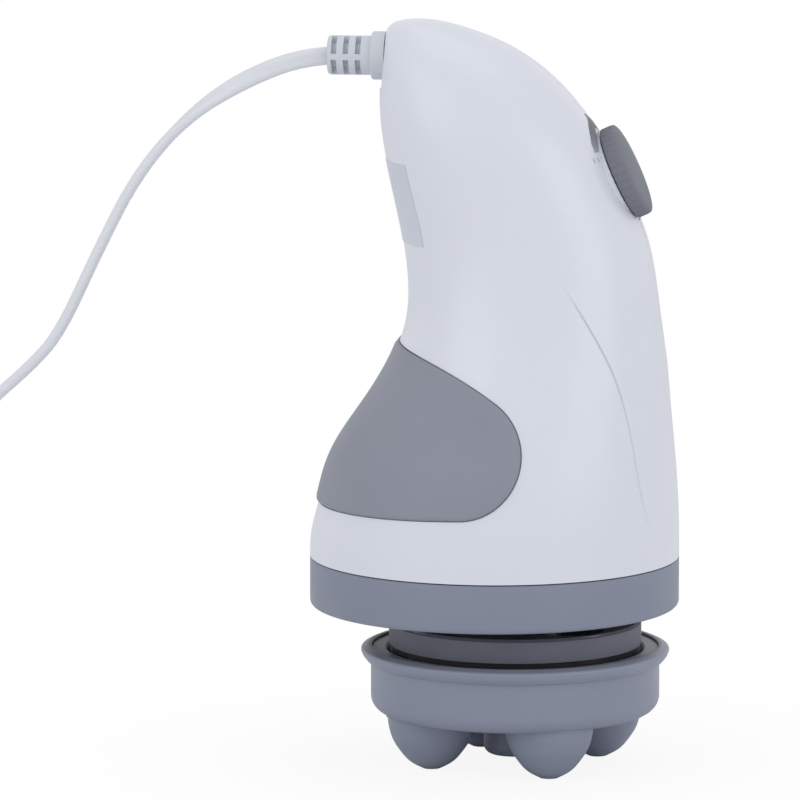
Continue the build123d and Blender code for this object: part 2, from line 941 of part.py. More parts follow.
def make_counterweight():
    disc_top = eccentric_low + eccentric_disc + face_gap
    bob = rod(weight_radius, eccentric_low + face_gap, weight_top)
    bob = bob & block(-weight_radius, -face_gap, -weight_radius, weight_radius, 0, 2 * overrun)
    weight = bob + rod(weight_collar_radius, disc_top, eccentric_top)
    weight = weight - rod(eccentric_hub_radius + running_fit, 0, eccentric_top)
    clear = rod(crank_boss_radius + face_gap, 0, disc_top, throw)
    weight = weight - clear
    hole = Rot(Y=-90) * rod(grub_radius + thread_fit, eccentric_hub_radius / 2, weight_radius + wall)
    return weight - Pos(0, 0, grub_level()) * hole


def make_grub_screw():
    start = shaft_radius + face_gap
    screw = Rot(Y=-90) * rod(grub_radius, start, start + grub_length)
    return Pos(0, 0, grub_level()) * screw


def make_crank_screw():
    seat = pocket_floor() - face_gap
    washer = rod(washer_radius, seat - washer_thickness, seat, throw)
    head = rod(crank_screw_head_radius, seat - washer_thickness - crank_screw_head_height, seat, throw)
    shank = rod(crank_screw_radius, seat, seat + crank_screw_length - face_gap, throw)
    return washer + head + shank


def make_drum():
    bottom = cup_bottom + cup_floor + seat_gap
    inner = drum_radius - drum_wall
    under = drum_top - drum_top_thickness
    shell = [
        (0, drum_top),
        (drum_radius - drum_edge_round, drum_top),
        (drum_radius, drum_top - drum_edge_round),
        (drum_radius, bottom),
        (inner, bottom),
        (inner, under),
        (0, under),
    ]
    drum = turned(shell)
    floor_of_groove = drum_radius - drum_groove_depth
    drum = drum - sleeve(drum_radius + wall, floor_of_groove, drum_groove_low, drum_groove_high)
    hub_low = drum_top - drum_hub_height
    drum = drum + rod(drum_hub_radius, hub_low, drum_top)
    pocket_radius = peg_radius + throw + pocket_gap
    floor = pocket_floor()
    pockets = [polar(peg_circle, peg_turn + quarter * i) for i in range(4)]
    for x, y in pockets:
        drum = drum + rod(pocket_radius + pocket_wall, floor - pocket_wall, drum_top, x, y)
    drum = drum & rod(drum_radius, bottom, drum_top)
    for x, y in pockets:
        drum = drum - rod(pocket_radius, floor, drum_top, x, y)
    drum = drum - rod(drum_lip_radius, hub_low, drum_top)
    drum = drum - rod(head_bearing_radius + running_fit, pocket_floor(), drum_top)
    groove_low = clip_low() - running_fit
    groove = rod(head_bearing_radius + clip_groove, groove_low, groove_low + clip_thickness + 2 * running_fit)
    drum = drum - groove
    half = snap_groove_width / 2
    notch_floor = drum_radius - snap_groove_depth
    notch = sleeve(drum_radius + wall, notch_floor, snap_level - half, snap_level + half)
    rib_outer = inner + drum_wall / 2
    rib_inner = inner - drum_wall / 2
    rib = sleeve(rib_outer, rib_inner, snap_level - 2 * half, snap_level + 2 * half)
    return Pos(throw, 0, 0) * (drum + rib - notch)


def clip_low():
    return pocket_floor() + face_gap / 2 + head_bearing_width + running_fit


def make_bearing_clip():
    outer = head_bearing_radius + clip_groove - running_fit
    clip = sleeve(outer, outer - clip_width, clip_low(), clip_low() + clip_thickness, throw)
    mouth = clip_width
    gap = block(throw, throw + 2 * outer, -mouth, mouth, clip_low(), clip_low() + clip_thickness)
    return clip - gap


def make_snap_ring():
    bore = drum_radius + joint_gap
    middle = bore - snap_squeeze_gap - snap_section_radius
    section = Pos(middle, snap_level) * Circle(snap_section_radius)
    return Pos(throw, 0, 0) * revolve(Plane.XZ * section, Axis.Z)


def make_cup():
    floor_top = cup_bottom + cup_floor
    inner = cup_radius - cup_wall
    corner_x = cup_radius - cup_corner_round
    corner_z = cup_bottom + cup_corner_round
    bend = cup_corner_round * (1 - math.sqrt(0.5))
    lip_low = lip_top - lip_height
    side = lip_low - lip_flare
    edges = [
        Line((0, cup_bottom), (corner_x, cup_bottom)),
        ThreePointArc((corner_x, cup_bottom), (cup_radius - bend, cup_bottom + bend), (cup_radius, corner_z)),
        Line((cup_radius, corner_z), (cup_radius, side)),
        Line((cup_radius, side), (lip_radius, lip_low)),
        Line((lip_radius, lip_low), (lip_radius, lip_top - lip_round)),
        Line((lip_radius, lip_top - lip_round), (lip_radius - lip_round, lip_top)),
        Line((lip_radius - lip_round, lip_top), (ledge_radius, lip_top)),
        Line((ledge_radius, lip_top), (ledge_radius, ledge_level)),
        Line((ledge_radius, ledge_level), (inner, ledge_level)),
        Line((inner, ledge_level), (inner, floor_top)),
        Line((inner, floor_top), (0, floor_top)),
        Line((0, floor_top), (0, cup_bottom)),
    ]
    cup = lathe(Curve() + edges)
    cup = cup + rod(centre_boss_radius, centre_boss_bottom + centre_boss_round, cup_bottom + cup_floor / 2)
    tip = Cone(
        centre_boss_radius - centre_boss_round,
        centre_boss_radius,
        centre_boss_round,
        align=(Align.CENTER, Align.CENTER, Align.MIN),
    )
    cup = cup + Pos(0, 0, centre_boss_bottom) * tip
    cup = cup - rod(centre_boss_radius - centre_boss_wall, centre_boss_bottom + centre_boss_wall, floor_top)
    for i in range(dome_count):
        x, y = polar(dome_circle, dome_turn + i * full_turn / dome_count)
        cup = cup + Pos(x, y, 0) * dome(0.0) - Pos(x, y, 0) * dome(dome_wall)
    return Pos(throw, 0, 0) * cup


def dome(inset):
    # A dome is an arc from the cup's underside down to the nub, turned about the dome's own axis.
    # With an inset it is the room inside the dome, whose wall is that thick.
    top = cup_bottom + (cup_floor if inset else cup_floor / 2)
    radius = dome_radius - inset
    rim = (radius, cup_bottom)
    drop = cup_bottom - nub_height - inset
    middle = (radius * dome_bulge_share, cup_bottom - drop * dome_drop_share)
    foot_radius = nub_radius if not inset else nub_radius - nub_height
    foot = (foot_radius, nub_height + inset)
    edges = [Line((0, top), (radius, top)), Line((radius, top), rim), ThreePointArc(rim, middle, foot)]
    if inset:
        edges += [Line(foot, (0, foot[1])), Line((0, foot[1]), (0, top))]
    else:
        side = (nub_radius, nub_edge_round)
        tip = (nub_radius - nub_edge_round, 0)
        edges += [Line(foot, side), Line(side, tip), Line(tip, (0, 0)), Line((0, 0), (0, top))]
    return lathe(Curve() + edges)


def make_clip_ring():
    bore = drum_radius + joint_gap
    flange = ledge_radius - clip_ring_flange_gap
    bottom = cup_bottom + cup_floor + face_gap
    profile = [
        (bore, bottom),
        (bore, clip_ring_top - clip_ring_chamfer),
        (bore + clip_ring_chamfer, clip_ring_top),
        (flange, clip_ring_top),
        (flange, ledge_level),
        (bore + clip_ring_wall, ledge_level),
        (bore + clip_ring_wall, bottom),
    ]
    return turned(profile, throw)


def make_dial():
    low = seat_gap - seat_depth + seat_gap
    rim_top = dial_height - dial_crown
    body = dial_radius - dial_ridge_depth
    sphere = (body**2 + dial_crown**2) / (2 * dial_crown)
    middle = body / 2
    crown = (middle, dial_height - sphere + math.sqrt(sphere**2 - middle**2))
    edges = [
        Line((0, low), (body, low)),
        Line((body, low), (body, rim_top)),
        ThreePointArc((body, rim_top), crown, (0, dial_height)),
        Line((0, dial_height), (0, low)),
    ]
    dial = lathe(Curve() + edges)
    ridges = []
    for i in range(dial_ridge_count):
        pitch = full_turn / dial_ridge_count
        ridges.append(polar(body, i * pitch))
        ridges.append(polar(body, (i + dial_ridge_gap_share) * pitch))
        ridges.append(polar(dial_radius, (i + dial_ridge_gap_share + dial_ridge_slope_share) * pitch))
        ridges.append(polar(dial_radius, (i + 1 - dial_ridge_slope_share) * pitch))
    rim = extrude(make_face(Polyline(*ridges, close=True)), rim_top - dial_ridge_depth - low)
    dial = dial + Pos(0, 0, low) * rim
    dial = dial - rod(body - dial_wall, low, rim_top - dial_wall)
    dial = dial + rod(dial_hub_radius, nut_top() + seat_gap, rim_top - dial_wall / 2)
    return at_dial(dial - rod(pot_shaft_radius + running_fit, low, pot_shaft_rise))


def nut_top():
    return nut_thickness - seat_depth


def make_pot():
    front = -seat_depth - wall
    can = rod(pot_body_radius, front - pot_body_length, front)
    bush = rod(pot_bush_radius, front, pot_bush_rise - seat_depth)
    bore = rod(pot_shaft_radius + 2 * running_fit, front - pot_shaft_depth, dial_height)
    return at_dial(can + bush - bore)


def make_pot_shaft():
    front = -seat_depth - wall
    shaft = rod(pot_shaft_radius, front - pot_shaft_depth + face_gap, pot_shaft_rise - running_fit)
    return at_dial(shaft)


def make_pot_nut():
    hexagon = extrude(RegularPolygon(nut_radius, nut_sides), nut_thickness)
    nut = Pos(0, 0, -seat_depth) * hexagon
    return at_dial(nut - rod(pot_bush_radius + thread_fit, -seat_depth, nut_top()))


def board_back():
    return -seat_depth - wall - pot_body_length - board_thickness


def on_board(across, rise, width, length, height):
    back = board_back()
    left = across - width / 2
    low = rise - length / 2
    return at_dial(block(left, left + width, low, low + length, back - height, back))


def make_board():
    back = board_back()
    half_length = board_length / 2
    half_width = board_width / 2
    return at_dial(block(-half_width, half_width, -half_length, half_length, back, back + board_thickness))


def make_heat_sink():
    back = board_back()
    left = heat_sink_y - heat_sink_width / 2
    low = heat_sink_rise - heat_sink_length / 2
    high = low + heat_sink_length
    sink = block(left, left + heat_sink_base, low, high, back - heat_sink_height, back)
    for i in range(heat_sink_fins):
        start = low + i * (heat_sink_length - heat_sink_fin) / (heat_sink_fins - 1)
        end = start + heat_sink_fin
        sink = sink + block(left, left + heat_sink_width, start, end, back - heat_sink_height, back)
    return at_dial(sink)


def make_capacitor():
    body = on_board(capacitor_y, capacitor_rise, capacitor_width, capacitor_length, capacitor_height)
    return chamfer(body.edges(), board_thickness / 4)


def make_terminal_block():
    middle = terminal_rise - terminal_length / 2
    return on_board(terminal_y, middle, terminal_width, terminal_length, terminal_height)


def relief_slots():
    slots = []
    for i in range(relief_slot_count):
        end = relief_end_x + relief_first_slot + i * relief_slot_pitch
        ring = Rot(Y=90) * sleeve(2 * relief_radius, relief_core_radius, 0, relief_slot_length)
        spine_z = block(-overrun, overrun, -relief_spine_half, relief_spine_half, -overrun, overrun)
        spine_y = block(-overrun, overrun, -overrun, overrun, -relief_spine_half, relief_spine_half)
        slots.append(Pos(end, 0, cord_height) * (ring - spine_z - spine_y))
    return slots


def make_strain_relief():
    def along_x(radius, start, length):
        return Pos(start, 0, cord_height) * (Rot(Y=90) * rod(radius, 0, length))

    body = along_x(relief_radius, relief_end_x, relief_length)
    body = fillet(body.edges().group_by(Axis.X)[0], relief_slot_length / 2)
    for slot in relief_slots():
        body = body - slot
    flange = along_x(relief_flange_radius, inlet_face_x - relief_flange_length, relief_flange_length)
    flange = fillet(flange.edges().group_by(Axis.X)[0], relief_slot_length / 3)
    neck = along_x(inlet_hole_radius - running_fit, inlet_face_x, inlet_neck_length)
    collar = along_x(relief_inner_radius, inlet_face_x + inlet_neck_length, relief_inner_length)
    bore = along_x(cord_radius + joint_gap, relief_end_x, relief_bore_depth)
    return body + flange + neck + collar - bore


def make_inner_lead():
    start_x = inlet_face_x + inlet_neck_length + relief_inner_length
    end = dial_point(0, terminal_rise, board_back() - terminal_height / 2)
    slope = math.radians(dial_tilt)
    rise = cord_height - end[2]
    corner_x = end[0] - rise * math.tan(slope)
    points = [(start_x, 0, cord_height), (corner_x, 0, cord_height), end]
    path = FilletPolyline(*points, radius=inner_lead_turn_radius)
    start = Plane(origin=points[0], x_dir=(0, 1, 0), z_dir=(1, 0, 0))
    return sweep(start * SlotOverall(cord_width, cord_thickness), path=path)


def make_cord_clamp():
    low = cord_height + cord_thickness / 2 + running_fit
    half = clamp_length / 2
    left = clamp_x - half
    right = clamp_x + half
    bar = block(left, right, -clamp_half_width, clamp_half_width, low, low + clamp_thickness)
    for side in (-1, 1):
        foot_low = cord_height - cord_thickness / 2 - running_fit
        inner = clamp_screw_y - clamp_screw_radius - 2 * face_gap
        y_low, y_high = sorted((side * inner, side * clamp_half_width))
        bar = bar + block(left, right, y_low, y_high, foot_low, low)
    for side in (-1, 1):
        bar = bar - rod(clamp_screw_radius + thread_fit, 0, 2 * overrun, clamp_x, side * clamp_screw_y)
    return bar


def make_clamp_screws():
    top = cord_height + cord_thickness / 2 + running_fit + clamp_thickness
    screws = []
    for side in (-1, 1):
        y = side * clamp_screw_y
        head = rod(clamp_screw_head_radius, top, top + clamp_screw_head_height, clamp_x, y)
        shank = rod(clamp_screw_radius, top - clamp_screw_shank, top, clamp_x, y)
        screws.append(head + shank)
    return screws


def make_motor_leads():
    leads = []
    level = brush_level
    for side in (1, -1):
        y = side * wire_y
        start = dial_point(y, wire_start_rise, board_back())
        stub = dial_point(y, wire_start_rise, board_back() - wire_stub)
        if side > 0:
            points = [start, stub, (wire_right_x, y, level), (holder_outer_x, y, level)]
        else:
            points = [
                start,
                stub,
                (wire_left_x, y, wire_bridge_height),
                (wire_left_x, y, level),
                (-holder_outer_x, y, level),
            ]
        path = FilletPolyline(*points, radius=wire_bend_radius)
        section = Plane(origin=path @ 0, z_dir=path % 0) * Circle(wire_radius)
        leads.append(sweep(section, path=path))
    return leads


# The route of the free cord, from the strain relief down to the coil, chosen by hand.
lead_points = [
    (relief_end_x + relief_bore_depth - face_gap, 0.0, cord_height),
    (relief_end_x - lead_straight, 0.0, cord_height),
    (-72.0, 0.0, 197.0),
    (-88.4, 0.0, 186.1),
    (-103.4, 0.0, 169.0),
    (-115.4, 0.0, 145.4),
    (-125.7, 0.0, 123.1),
    (-134.0, 0.3, 113.2),
    (-151.0, 2.0, 98.4),
    (-160.5, 6.0, 77.4),
    (-168.0, 10.8, 58.0),
    (-174.5, 15.5, 41.0),
    (-183.0, 19.4, 27.6),
    (-198.0, coil_entry_y, 20.0),
    (coil_x, coil_entry_y, 20.0),
]
tail_points = [
    (coil_x, coil_entry_y, cord_radius),
    (-226.0, coil_entry_y, cord_radius),
    (-242.0, 23.2, 5.2),
    (-256.0, plug_y, plug_thickness / 2),
    (plug_entry_x, plug_y, plug_thickness / 2),
]
run_share = 0.45


def corner_radii(points):
    # The largest arc that each corner's two runs allow.
    radii = []
    for before, here, after in zip(points, points[1:], points[2:]):
        run_in = Vector(*here) - Vector(*before)
        run_out = Vector(*after) - Vector(*here)
        half_turn = math.radians(run_in.get_angle(run_out)) / 2
        radii.append(run_share * min(run_in.length, run_out.length) / math.tan(half_turn))
    return radii


def cord_tube(points, label):
    radii = corner_radii(points)
    path = FilletPolyline(*points, radius=radii)
    section = Plane(origin=path @ 0, z_dir=path % 0) * Circle(cord_radius)
    tube = sweep(section, path=path)
    ideal = math.pi * cord_radius**2 * path.length
    print(f"{label}: length {path.length:.1f}, radii {[round(r, 1) for r in radii]}")
    print(f"{label}: volume {tube.volume:.1f}, section times length {ideal:.1f}")
    return tube, path.length


def coil_pitch():
    return cord_width + coil_spacing


def coil_centre_y():
    return coil_entry_y - coil_radius(0.0)


def coil_radius(turn):
    # The spiral runs in and out at a steady rate, one layer each way, rounded where it turns back.
    per_layer = coil_turns / coil_layers
    pitch = coil_pitch()
    outer = coil_mean_radius + pitch * per_layer / 2
    inner = coil_mean_radius - pitch * per_layer / 2
    layer = min(int(turn / per_layer), coil_layers - 1)
    along = turn - layer * per_layer
    radius = outer - pitch * along if layer % 2 == 0 else inner + pitch * along
    nearest = round(turn / per_layer)
    if 0 < nearest < coil_layers:
        past = abs(turn - nearest * per_layer)
        ease = pitch * (quarter_turn - past) ** 2 / (2 * quarter_turn) if past < quarter_turn else 0.0
        radius += ease if nearest % 2 else -ease
    return radius


quarter_turn = 0.25


def coil_height(turn):
    # The top layer comes first. Each later one lies a pitch lower, reached in the half turn round the reversal.
    per_layer = coil_turns / coil_layers
    height = cord_radius + (coil_layers - 1) * coil_pitch()
    for boundary in range(1, coil_layers):
        share = (turn - boundary * per_layer) / (2 * quarter_turn) + 0.5
        share = min(1.0, max(0.0, share))
        height -= coil_pitch() * share * share * (3 - 2 * share)
    return height


def coil_point(turn):
    angle = math.tau * (turn + quarter_turn)
    radius = coil_radius(turn)
    x = coil_x + radius * math.cos(angle)
    y = coil_centre_y() + radius * math.sin(angle)
    return Vector(x, y, coil_height(turn))


def coil_tangent(turn):
    if turn in (0.0, coil_turns):
        return Vector(-1, 0, 0)
    step = 1 / 3600
    return (coil_point(turn + step) - coil_point(turn - step)).normalized()


def biarc(start, start_way, end, end_way):
    # Two tangent arcs with control arms of one length, which meet halfway between the arms' ends.
    chord = end - start
    ways = start_way + end_way
    bend = 2 * (1 - start_way.dot(end_way))
    mix = chord.dot(ways)
    arm = (-mix + math.sqrt(mix * mix + bend * chord.dot(chord))) / bend
    meet = (start + start_way * arm + end - end_way * arm) * 0.5
    first = Edge.make_tangent_arc(start, start_way, meet)
    second = Edge.make_tangent_arc(meet, first.tangent_at(1), end)
    return [first, second]


def make_coil():
    steps = round(coil_turns / quarter_turn)
    edges = []
    for i in range(steps):
        here = i * quarter_turn
        there = here + quarter_turn
        edges += biarc(coil_point(here), coil_tangent(here), coil_point(there), coil_tangent(there))
    path = Wire(edges)
    section = Plane(origin=coil_point(0.0), z_dir=(-1, 0, 0)) * Circle(cord_radius)
    coil = sweep(section, path=path)
    samples_per_edge = 8
    line = [edge.position_at(k / samples_per_edge) for edge in edges for k in range(samples_per_edge)]
    apart = steps // int(coil_turns) * samples_per_edge
    least = min(
        (line[i] - line[j]).length for i in range(len(line)) for j in range(i + apart, len(line))
    )
    print(f"coil: length {path.length:.1f}, least gap to itself {least - cord_width:.2f}")
    ideal = math.pi * cord_radius**2 * path.length
    print(f"coil: volume {coil.volume:.1f}, section times length {ideal:.1f}")
    return coil, path.length


def make_plug_body():
    back = plug_entry_x - plug_neck_length
    front = back - plug_body_length
    wide = plug_body_width / 2
    waist = plug_waist_width / 2
    nose = plug_front_width / 2
    third = plug_body_length / 3
    outline = [
        (back, -waist),
        (back - third, -wide),
        (front + third / 2, -wide),
        (front, -nose),
        (front, nose),
        (front + third / 2, wide),
        (back - third, wide),
        (back, waist),
    ]
    body = Pos(0, plug_y, 0) * extrude(make_face(Polyline(*outline, close=True)), plug_thickness)
    body = fillet(body.edges().filter_by(Axis.Z), plug_round)
    flats = body.faces().sort_by(Axis.Z)
    body = fillet(flats[-1].edges() + flats[0].edges(), plug_round / 2)
    neck = Rot(Y=-90) * rod(plug_neck_radius, 0, plug_neck_length + plug_round)
    body = body + Pos(plug_entry_x, plug_y, plug_thickness / 2) * neck
    for root in plug_pins(plug_pin_root_radius + thread_fit, front, front + plug_pin_socket):
        body = body - root
    return body


def plug_pins(radius, tip, root):
    pins = []
    for side in (-1, 1):
        pin = Rot(Y=90) * rod(radius, 0, root - tip)
        pins.append(Pos(tip, plug_y + side * plug_pin_spacing / 2, plug_thickness / 2) * pin)
    return pins


def make_plug_pins():
    # Each pin has a thinner root, which the plug's body is moulded round.
    front = plug_entry_x - plug_neck_length - plug_body_length
    tips = plug_pins(plug_pin_radius, front - plug_pin_length, front)
    roots = plug_pins(plug_pin_root_radius, front, front + plug_pin_socket - thread_fit)
    tips = [fillet(tip.edges().group_by(Axis.X)[0], plug_pin_radius / 2) for tip in tips]
    return [tip + root for tip, root in zip(tips, roots)]


for node, half in make_casing().items():
    save(half, node)
save(group(make_case_screws()), "housing_screws")
save(make_grip_pad(), "grip_pad")
save(make_label(), "rating_label")
save(make_base_ring(), "base_ring")
save(make_chassis(), "chassis_plate")
save(group(make_chassis_screws()), "chassis_screws")
save(group(make_guide_pegs()), "guide_pegs")
save(make_lower_bracket(), "lower_motor_bracket")
save(make_upper_bracket(), "upper_motor_bracket")
save(group(make_motor_bolts()), "motor_bolts")
bracket_bearing_low = plate_high + bearing_lip
bearing_bore = shaft_radius + running_fit / 2
lower_race = ball_bearing(lower_bearing_radius, bearing_bore, bracket_bearing_low, lower_bearing_width)
save(lower_race, "lower_bearing")
top_bearing_low = upper_hub_low + bearing_lip / 2
upper_race = ball_bearing(upper_bearing_radius, bearing_bore, top_bearing_low, upper_bearing_width)
save(upper_race, "upper_bearing")
save(make_stator(), "motor_stator")
save(group(make_field_coils()), "field_coils")
save(rod(shaft_radius, shaft_bottom, shaft_top), "motor_shaft")
save(make_armature_core(), "armature_core")
save(make_armature_winding(), "armature_winding")
save(make_commutator(), "commutator")
save(make_fan(), "cooling_fan")
save(group(make_brush_holders()), "brush_holders")
save(group(make_brushes()), "carbon_brushes")
save(group(make_brush_springs()), "brush_springs")
save(make_eccentric(), "eccentric")
save(make_counterweight(), "counterweight")
save(make_grub_screw(), "grub_screw")
save(make_crank_screw(), "crank_screw")
head_bearing_low = pocket_floor() + face_gap / 2
drum_race = ball_bearing(head_bearing_radius, crank_radius, head_bearing_low, head_bearing_width, throw)
save(drum_race, "head_bearing")
save(make_bearing_clip(), "bearing_clip")
save(make_drum(), "orbit_drum")
save(make_snap_ring(), "snap_ring")
save(make_cup(), "massage_cup")
save(make_clip_ring(), "clip_ring")
save(make_dial(), "speed_dial")
save(make_pot_shaft(), "dial_shaft")
save(make_pot(), "potentiometer")
save(make_pot_nut(), "potentiometer_nut")
save(make_board(), "control_board")
save(make_heat_sink(), "heat_sink")
save(make_capacitor(), "suppression_capacitor")
save(make_terminal_block(), "terminal_block")
save(make_strain_relief(), "strain_relief")
save(make_inner_lead(), "inner_lead")
save(make_cord_clamp(), "cord_clamp")
save(group(make_clamp_screws()), "clamp_screws")
save(group(make_motor_leads()), "motor_leads")
lead, lead_length = cord_tube(lead_points, "cord lead")
save(lead, "cord_lead")
tail, tail_length = cord_tube(tail_points, "cord tail")
save(tail, "cord_tail")
coil, coil_length = make_coil()
save(coil, "cord_coil")
print(f"cord in all: {lead_length + tail_length + coil_length:.0f}")
save(make_plug_body(), "plug_body")
save(group(make_plug_pins()), "plug_pins")
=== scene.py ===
import bmesh
import bpy
import math
import numpy as np
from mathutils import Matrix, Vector


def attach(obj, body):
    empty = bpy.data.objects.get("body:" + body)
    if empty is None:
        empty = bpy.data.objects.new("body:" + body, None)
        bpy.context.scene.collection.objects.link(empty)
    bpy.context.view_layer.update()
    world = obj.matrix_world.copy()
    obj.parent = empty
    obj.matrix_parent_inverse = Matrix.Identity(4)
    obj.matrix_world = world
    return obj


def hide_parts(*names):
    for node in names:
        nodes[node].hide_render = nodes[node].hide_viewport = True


# The looks of the handheld massager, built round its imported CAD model. Tables here are in millimetres
# and degrees, in the row frame: +Z up along the motor axis, +X the dial's side, -Y the camera's side.

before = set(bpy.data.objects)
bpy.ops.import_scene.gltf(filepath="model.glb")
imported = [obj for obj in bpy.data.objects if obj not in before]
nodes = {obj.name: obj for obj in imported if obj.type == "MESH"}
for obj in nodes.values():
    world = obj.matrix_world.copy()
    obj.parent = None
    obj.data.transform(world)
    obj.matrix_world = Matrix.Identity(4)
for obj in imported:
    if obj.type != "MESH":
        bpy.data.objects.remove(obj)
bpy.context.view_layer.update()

MM = 0.001


def placed(name, data):
    """A new object in the scene."""
    made = bpy.data.objects.new(name, data)
    bpy.context.scene.collection.objects.link(made)
    return made


# Camera

camera_azimuth = 7.0
camera_elevation = 8.7
camera_distance = 2500.0
camera_height = 105.26
camera_shift_right = 94.8
pixels_per_mm_near = 3.480
pixels_level = 60.0
image_side = 800.0
sensor_width = 36.0


def place_camera():
    """A long lens turned 7 degrees to the dial's side and 8.7 degrees down, as in the photograph."""
    turn, tip = math.radians(camera_azimuth), math.radians(camera_elevation)
    right = Vector((math.cos(turn), math.sin(turn), 0))
    ahead = -Vector((math.sin(turn) * math.cos(tip), -math.cos(turn) * math.cos(tip), math.sin(tip)))
    depth = camera_distance + (camera_height - pixels_level) * math.sin(tip)
    focal_pixels = pixels_per_mm_near * depth
    target = Vector((0, 0, camera_height)) - right * camera_shift_right * camera_distance / focal_pixels
    data = bpy.data.cameras.new("camera")
    data.sensor_width = sensor_width
    data.lens = focal_pixels / image_side * sensor_width
    data.clip_end = 20
    view = placed("camera", data)
    view.location = (target - ahead * camera_distance) * MM
    view.rotation_euler = ahead.to_track_quat("-Z", "Y").to_euler()
    bpy.context.scene.camera = view


place_camera()


# Mesh tools


def link_piece(name, mesh, material, body, smooth_angle=35.0):
    """A piece of the look with its material, on its body and in its colour slot."""
    made = placed(name, mesh)
    mesh.materials.clear()
    mesh.materials.append(material)
    mesh.polygons.foreach_set("use_smooth", np.ones(len(mesh.polygons), bool))
    mesh.set_sharp_from_angle(angle=math.radians(smooth_angle))
    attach(made, body)
    return made


def patch_faces(rows, columns, wrap_rows, wrap_columns, start):
    """Quads of a grid of points, numbered row by row, each corner one step on along rows and columns."""
    i = np.arange(rows if wrap_rows else rows - 1)
    j = np.arange(columns if wrap_columns else columns - 1)
    i, j = np.meshgrid(i, j, indexing="ij")
    i, j = i.ravel(), j.ravel()
    ahead, aside = (i + 1) % rows, (j + 1) % columns
    this_row, next_row = i * columns, ahead * columns
    return np.stack([this_row + j, this_row + aside, next_row + aside, next_row + j], 1) + start


def weld_mesh(mesh, reach, shortest, outwards):
    """Merges points nearer than reach, drops faces with edges under shortest, and turns faces outwards."""
    work = bmesh.new()
    work.from_mesh(mesh)
    bmesh.ops.remove_doubles(work, verts=work.verts, dist=reach * MM)
    if shortest:
        bmesh.ops.dissolve_degenerate(work, edges=work.edges, dist=shortest * MM)
    if outwards:
        bmesh.ops.recalc_face_normals(work, faces=work.faces)
    work.to_mesh(mesh)
    work.free()
    return mesh


def mesh_of(name, patches, weld=0.002):
    """A mesh from grids of points in mm, with doubles merged and the faces turned outwards."""
    points, faces, start = [], [], 0
    for grid, wrap_rows, wrap_columns in patches:
        rows, columns = grid.shape[:2]
        faces.append(patch_faces(rows, columns, wrap_rows, wrap_columns, start))
        points.append(grid.reshape(-1, 3))
        start += rows * columns
    mesh = bpy.data.meshes.new(name)
    mesh.from_pydata((np.concatenate(points) * MM).tolist(), [], np.concatenate(faces).tolist())
    return weld_mesh(mesh, weld, weld / 10, True)


def spline(knots, values, at):
    """The natural cubic spline through values at knots: its second slopes solve one small matrix."""
    knots, values = np.asarray(knots, float), np.asarray(values, float)
    at = np.clip(at, knots[0], knots[-1])
    step = np.diff(knots)
    rise = np.diff(values) / step
    count = len(knots)
    matrix = np.eye(count)
    target = np.zeros(count)
    inner = np.arange(1, count - 1)
    matrix[inner, inner - 1] = step[:-1]
    matrix[inner, inner] = 2 * (step[:-1] + step[1:])
    matrix[inner, inner + 1] = step[1:]
    target[1:-1] = 6 * np.diff(rise)
    bend = np.linalg.solve(matrix, target)
    i = np.clip(np.searchsorted(knots, at, side="right") - 1, 0, count - 2)
    h, left, right = step[i], at - knots[i], knots[i + 1] - at
    curve = (bend[i] * right**3 + bend[i + 1] * left**3) / (6 * h)
    before = values[i] / h - bend[i] * h / 6
    after = values[i + 1] / h - bend[i + 1] * h / 6
    return curve + before * right + after * left


def full_turn(count):
    """Evenly spaced angles round a circle, without the last one, which would repeat the first."""
    return np.linspace(0, math.tau, count, endpoint=False)


def signed_power(base, power):
    """The size of a number raised to a power, with the number's sign kept."""
    return np.sign(base) * np.abs(base) ** power


def smoothstep(low, high, x):
    """Runs from 0 at low to 1 at high as 3s^2 - 2s^3 of the share s between them."""
    share = np.clip((x - low) / (high - low), 0, 1)
    return share * share * (3 - 2 * share)


def soft_profile(corners, arc_steps=6):
    """Rounds the corners (r, z, radius) of a closed outline with tangent arcs, each from its two sides."""
    corners = np.array(corners, float)
    here, radius = corners[:, :2], corners[:, 2]
    before, after = np.roll(here, 1, 0) - here, np.roll(here, -1, 0) - here
    long_before = np.linalg.norm(before, axis=1, keepdims=True)
    long_after = np.linalg.norm(after, axis=1, keepdims=True)
    before, after = before / long_before, after / long_after
    half = np.arccos(np.clip((before * after).sum(1), -1, 1)) / 2
    reach = np.minimum(radius / np.tan(half), 0.49 * np.minimum(long_before, long_after)[:, 0])
    start, end = here + before * reach[:, None], here + after * reach[:, None]
    share = np.linspace(0, 1, arc_steps)[None, :, None]
    weight = np.sin(half)[:, None, None]
    lower, upper = (1 - share) ** 2, share**2
    middle = 2 * share * (1 - share) * weight
    arc = lower * start[:, None] + middle * here[:, None] + upper * end[:, None]
    arc = arc / (lower + middle + upper)
    sharp = radius == 0
    return np.concatenate([here[k : k + 1] if sharp[k] else arc[k] for k in range(len(corners))])


def turned(profile, segments=192, x=0.0, y=0.0):
    """A profile (r, z) carried round the upright axis through (x, y)."""
    turn = full_turn(segments)
    radius, height = profile[:, 0], profile[:, 1]
    grid = np.empty((segments, len(profile), 3))
    grid[..., 0] = x + np.cos(turn)[:, None] * radius
    grid[..., 1] = y + np.sin(turn)[:, None] * radius
    grid[..., 2] = height
    return grid


# Materials


def ink(code):
    """An sRGB hex colour as linear RGBA."""
    parts = np.array([int(code[i : i + 2], 16) / 255 for i in (1, 3, 5)])
    linear = np.where(parts <= 0.04045, parts / 12.92, ((parts + 0.055) / 1.055) ** 2.4)
    return (*linear, 1.0)


def set_inputs(node, values):
    """Constants on a shader node's own sockets."""
    for socket, value in values.items():
        node.inputs[socket].default_value = value


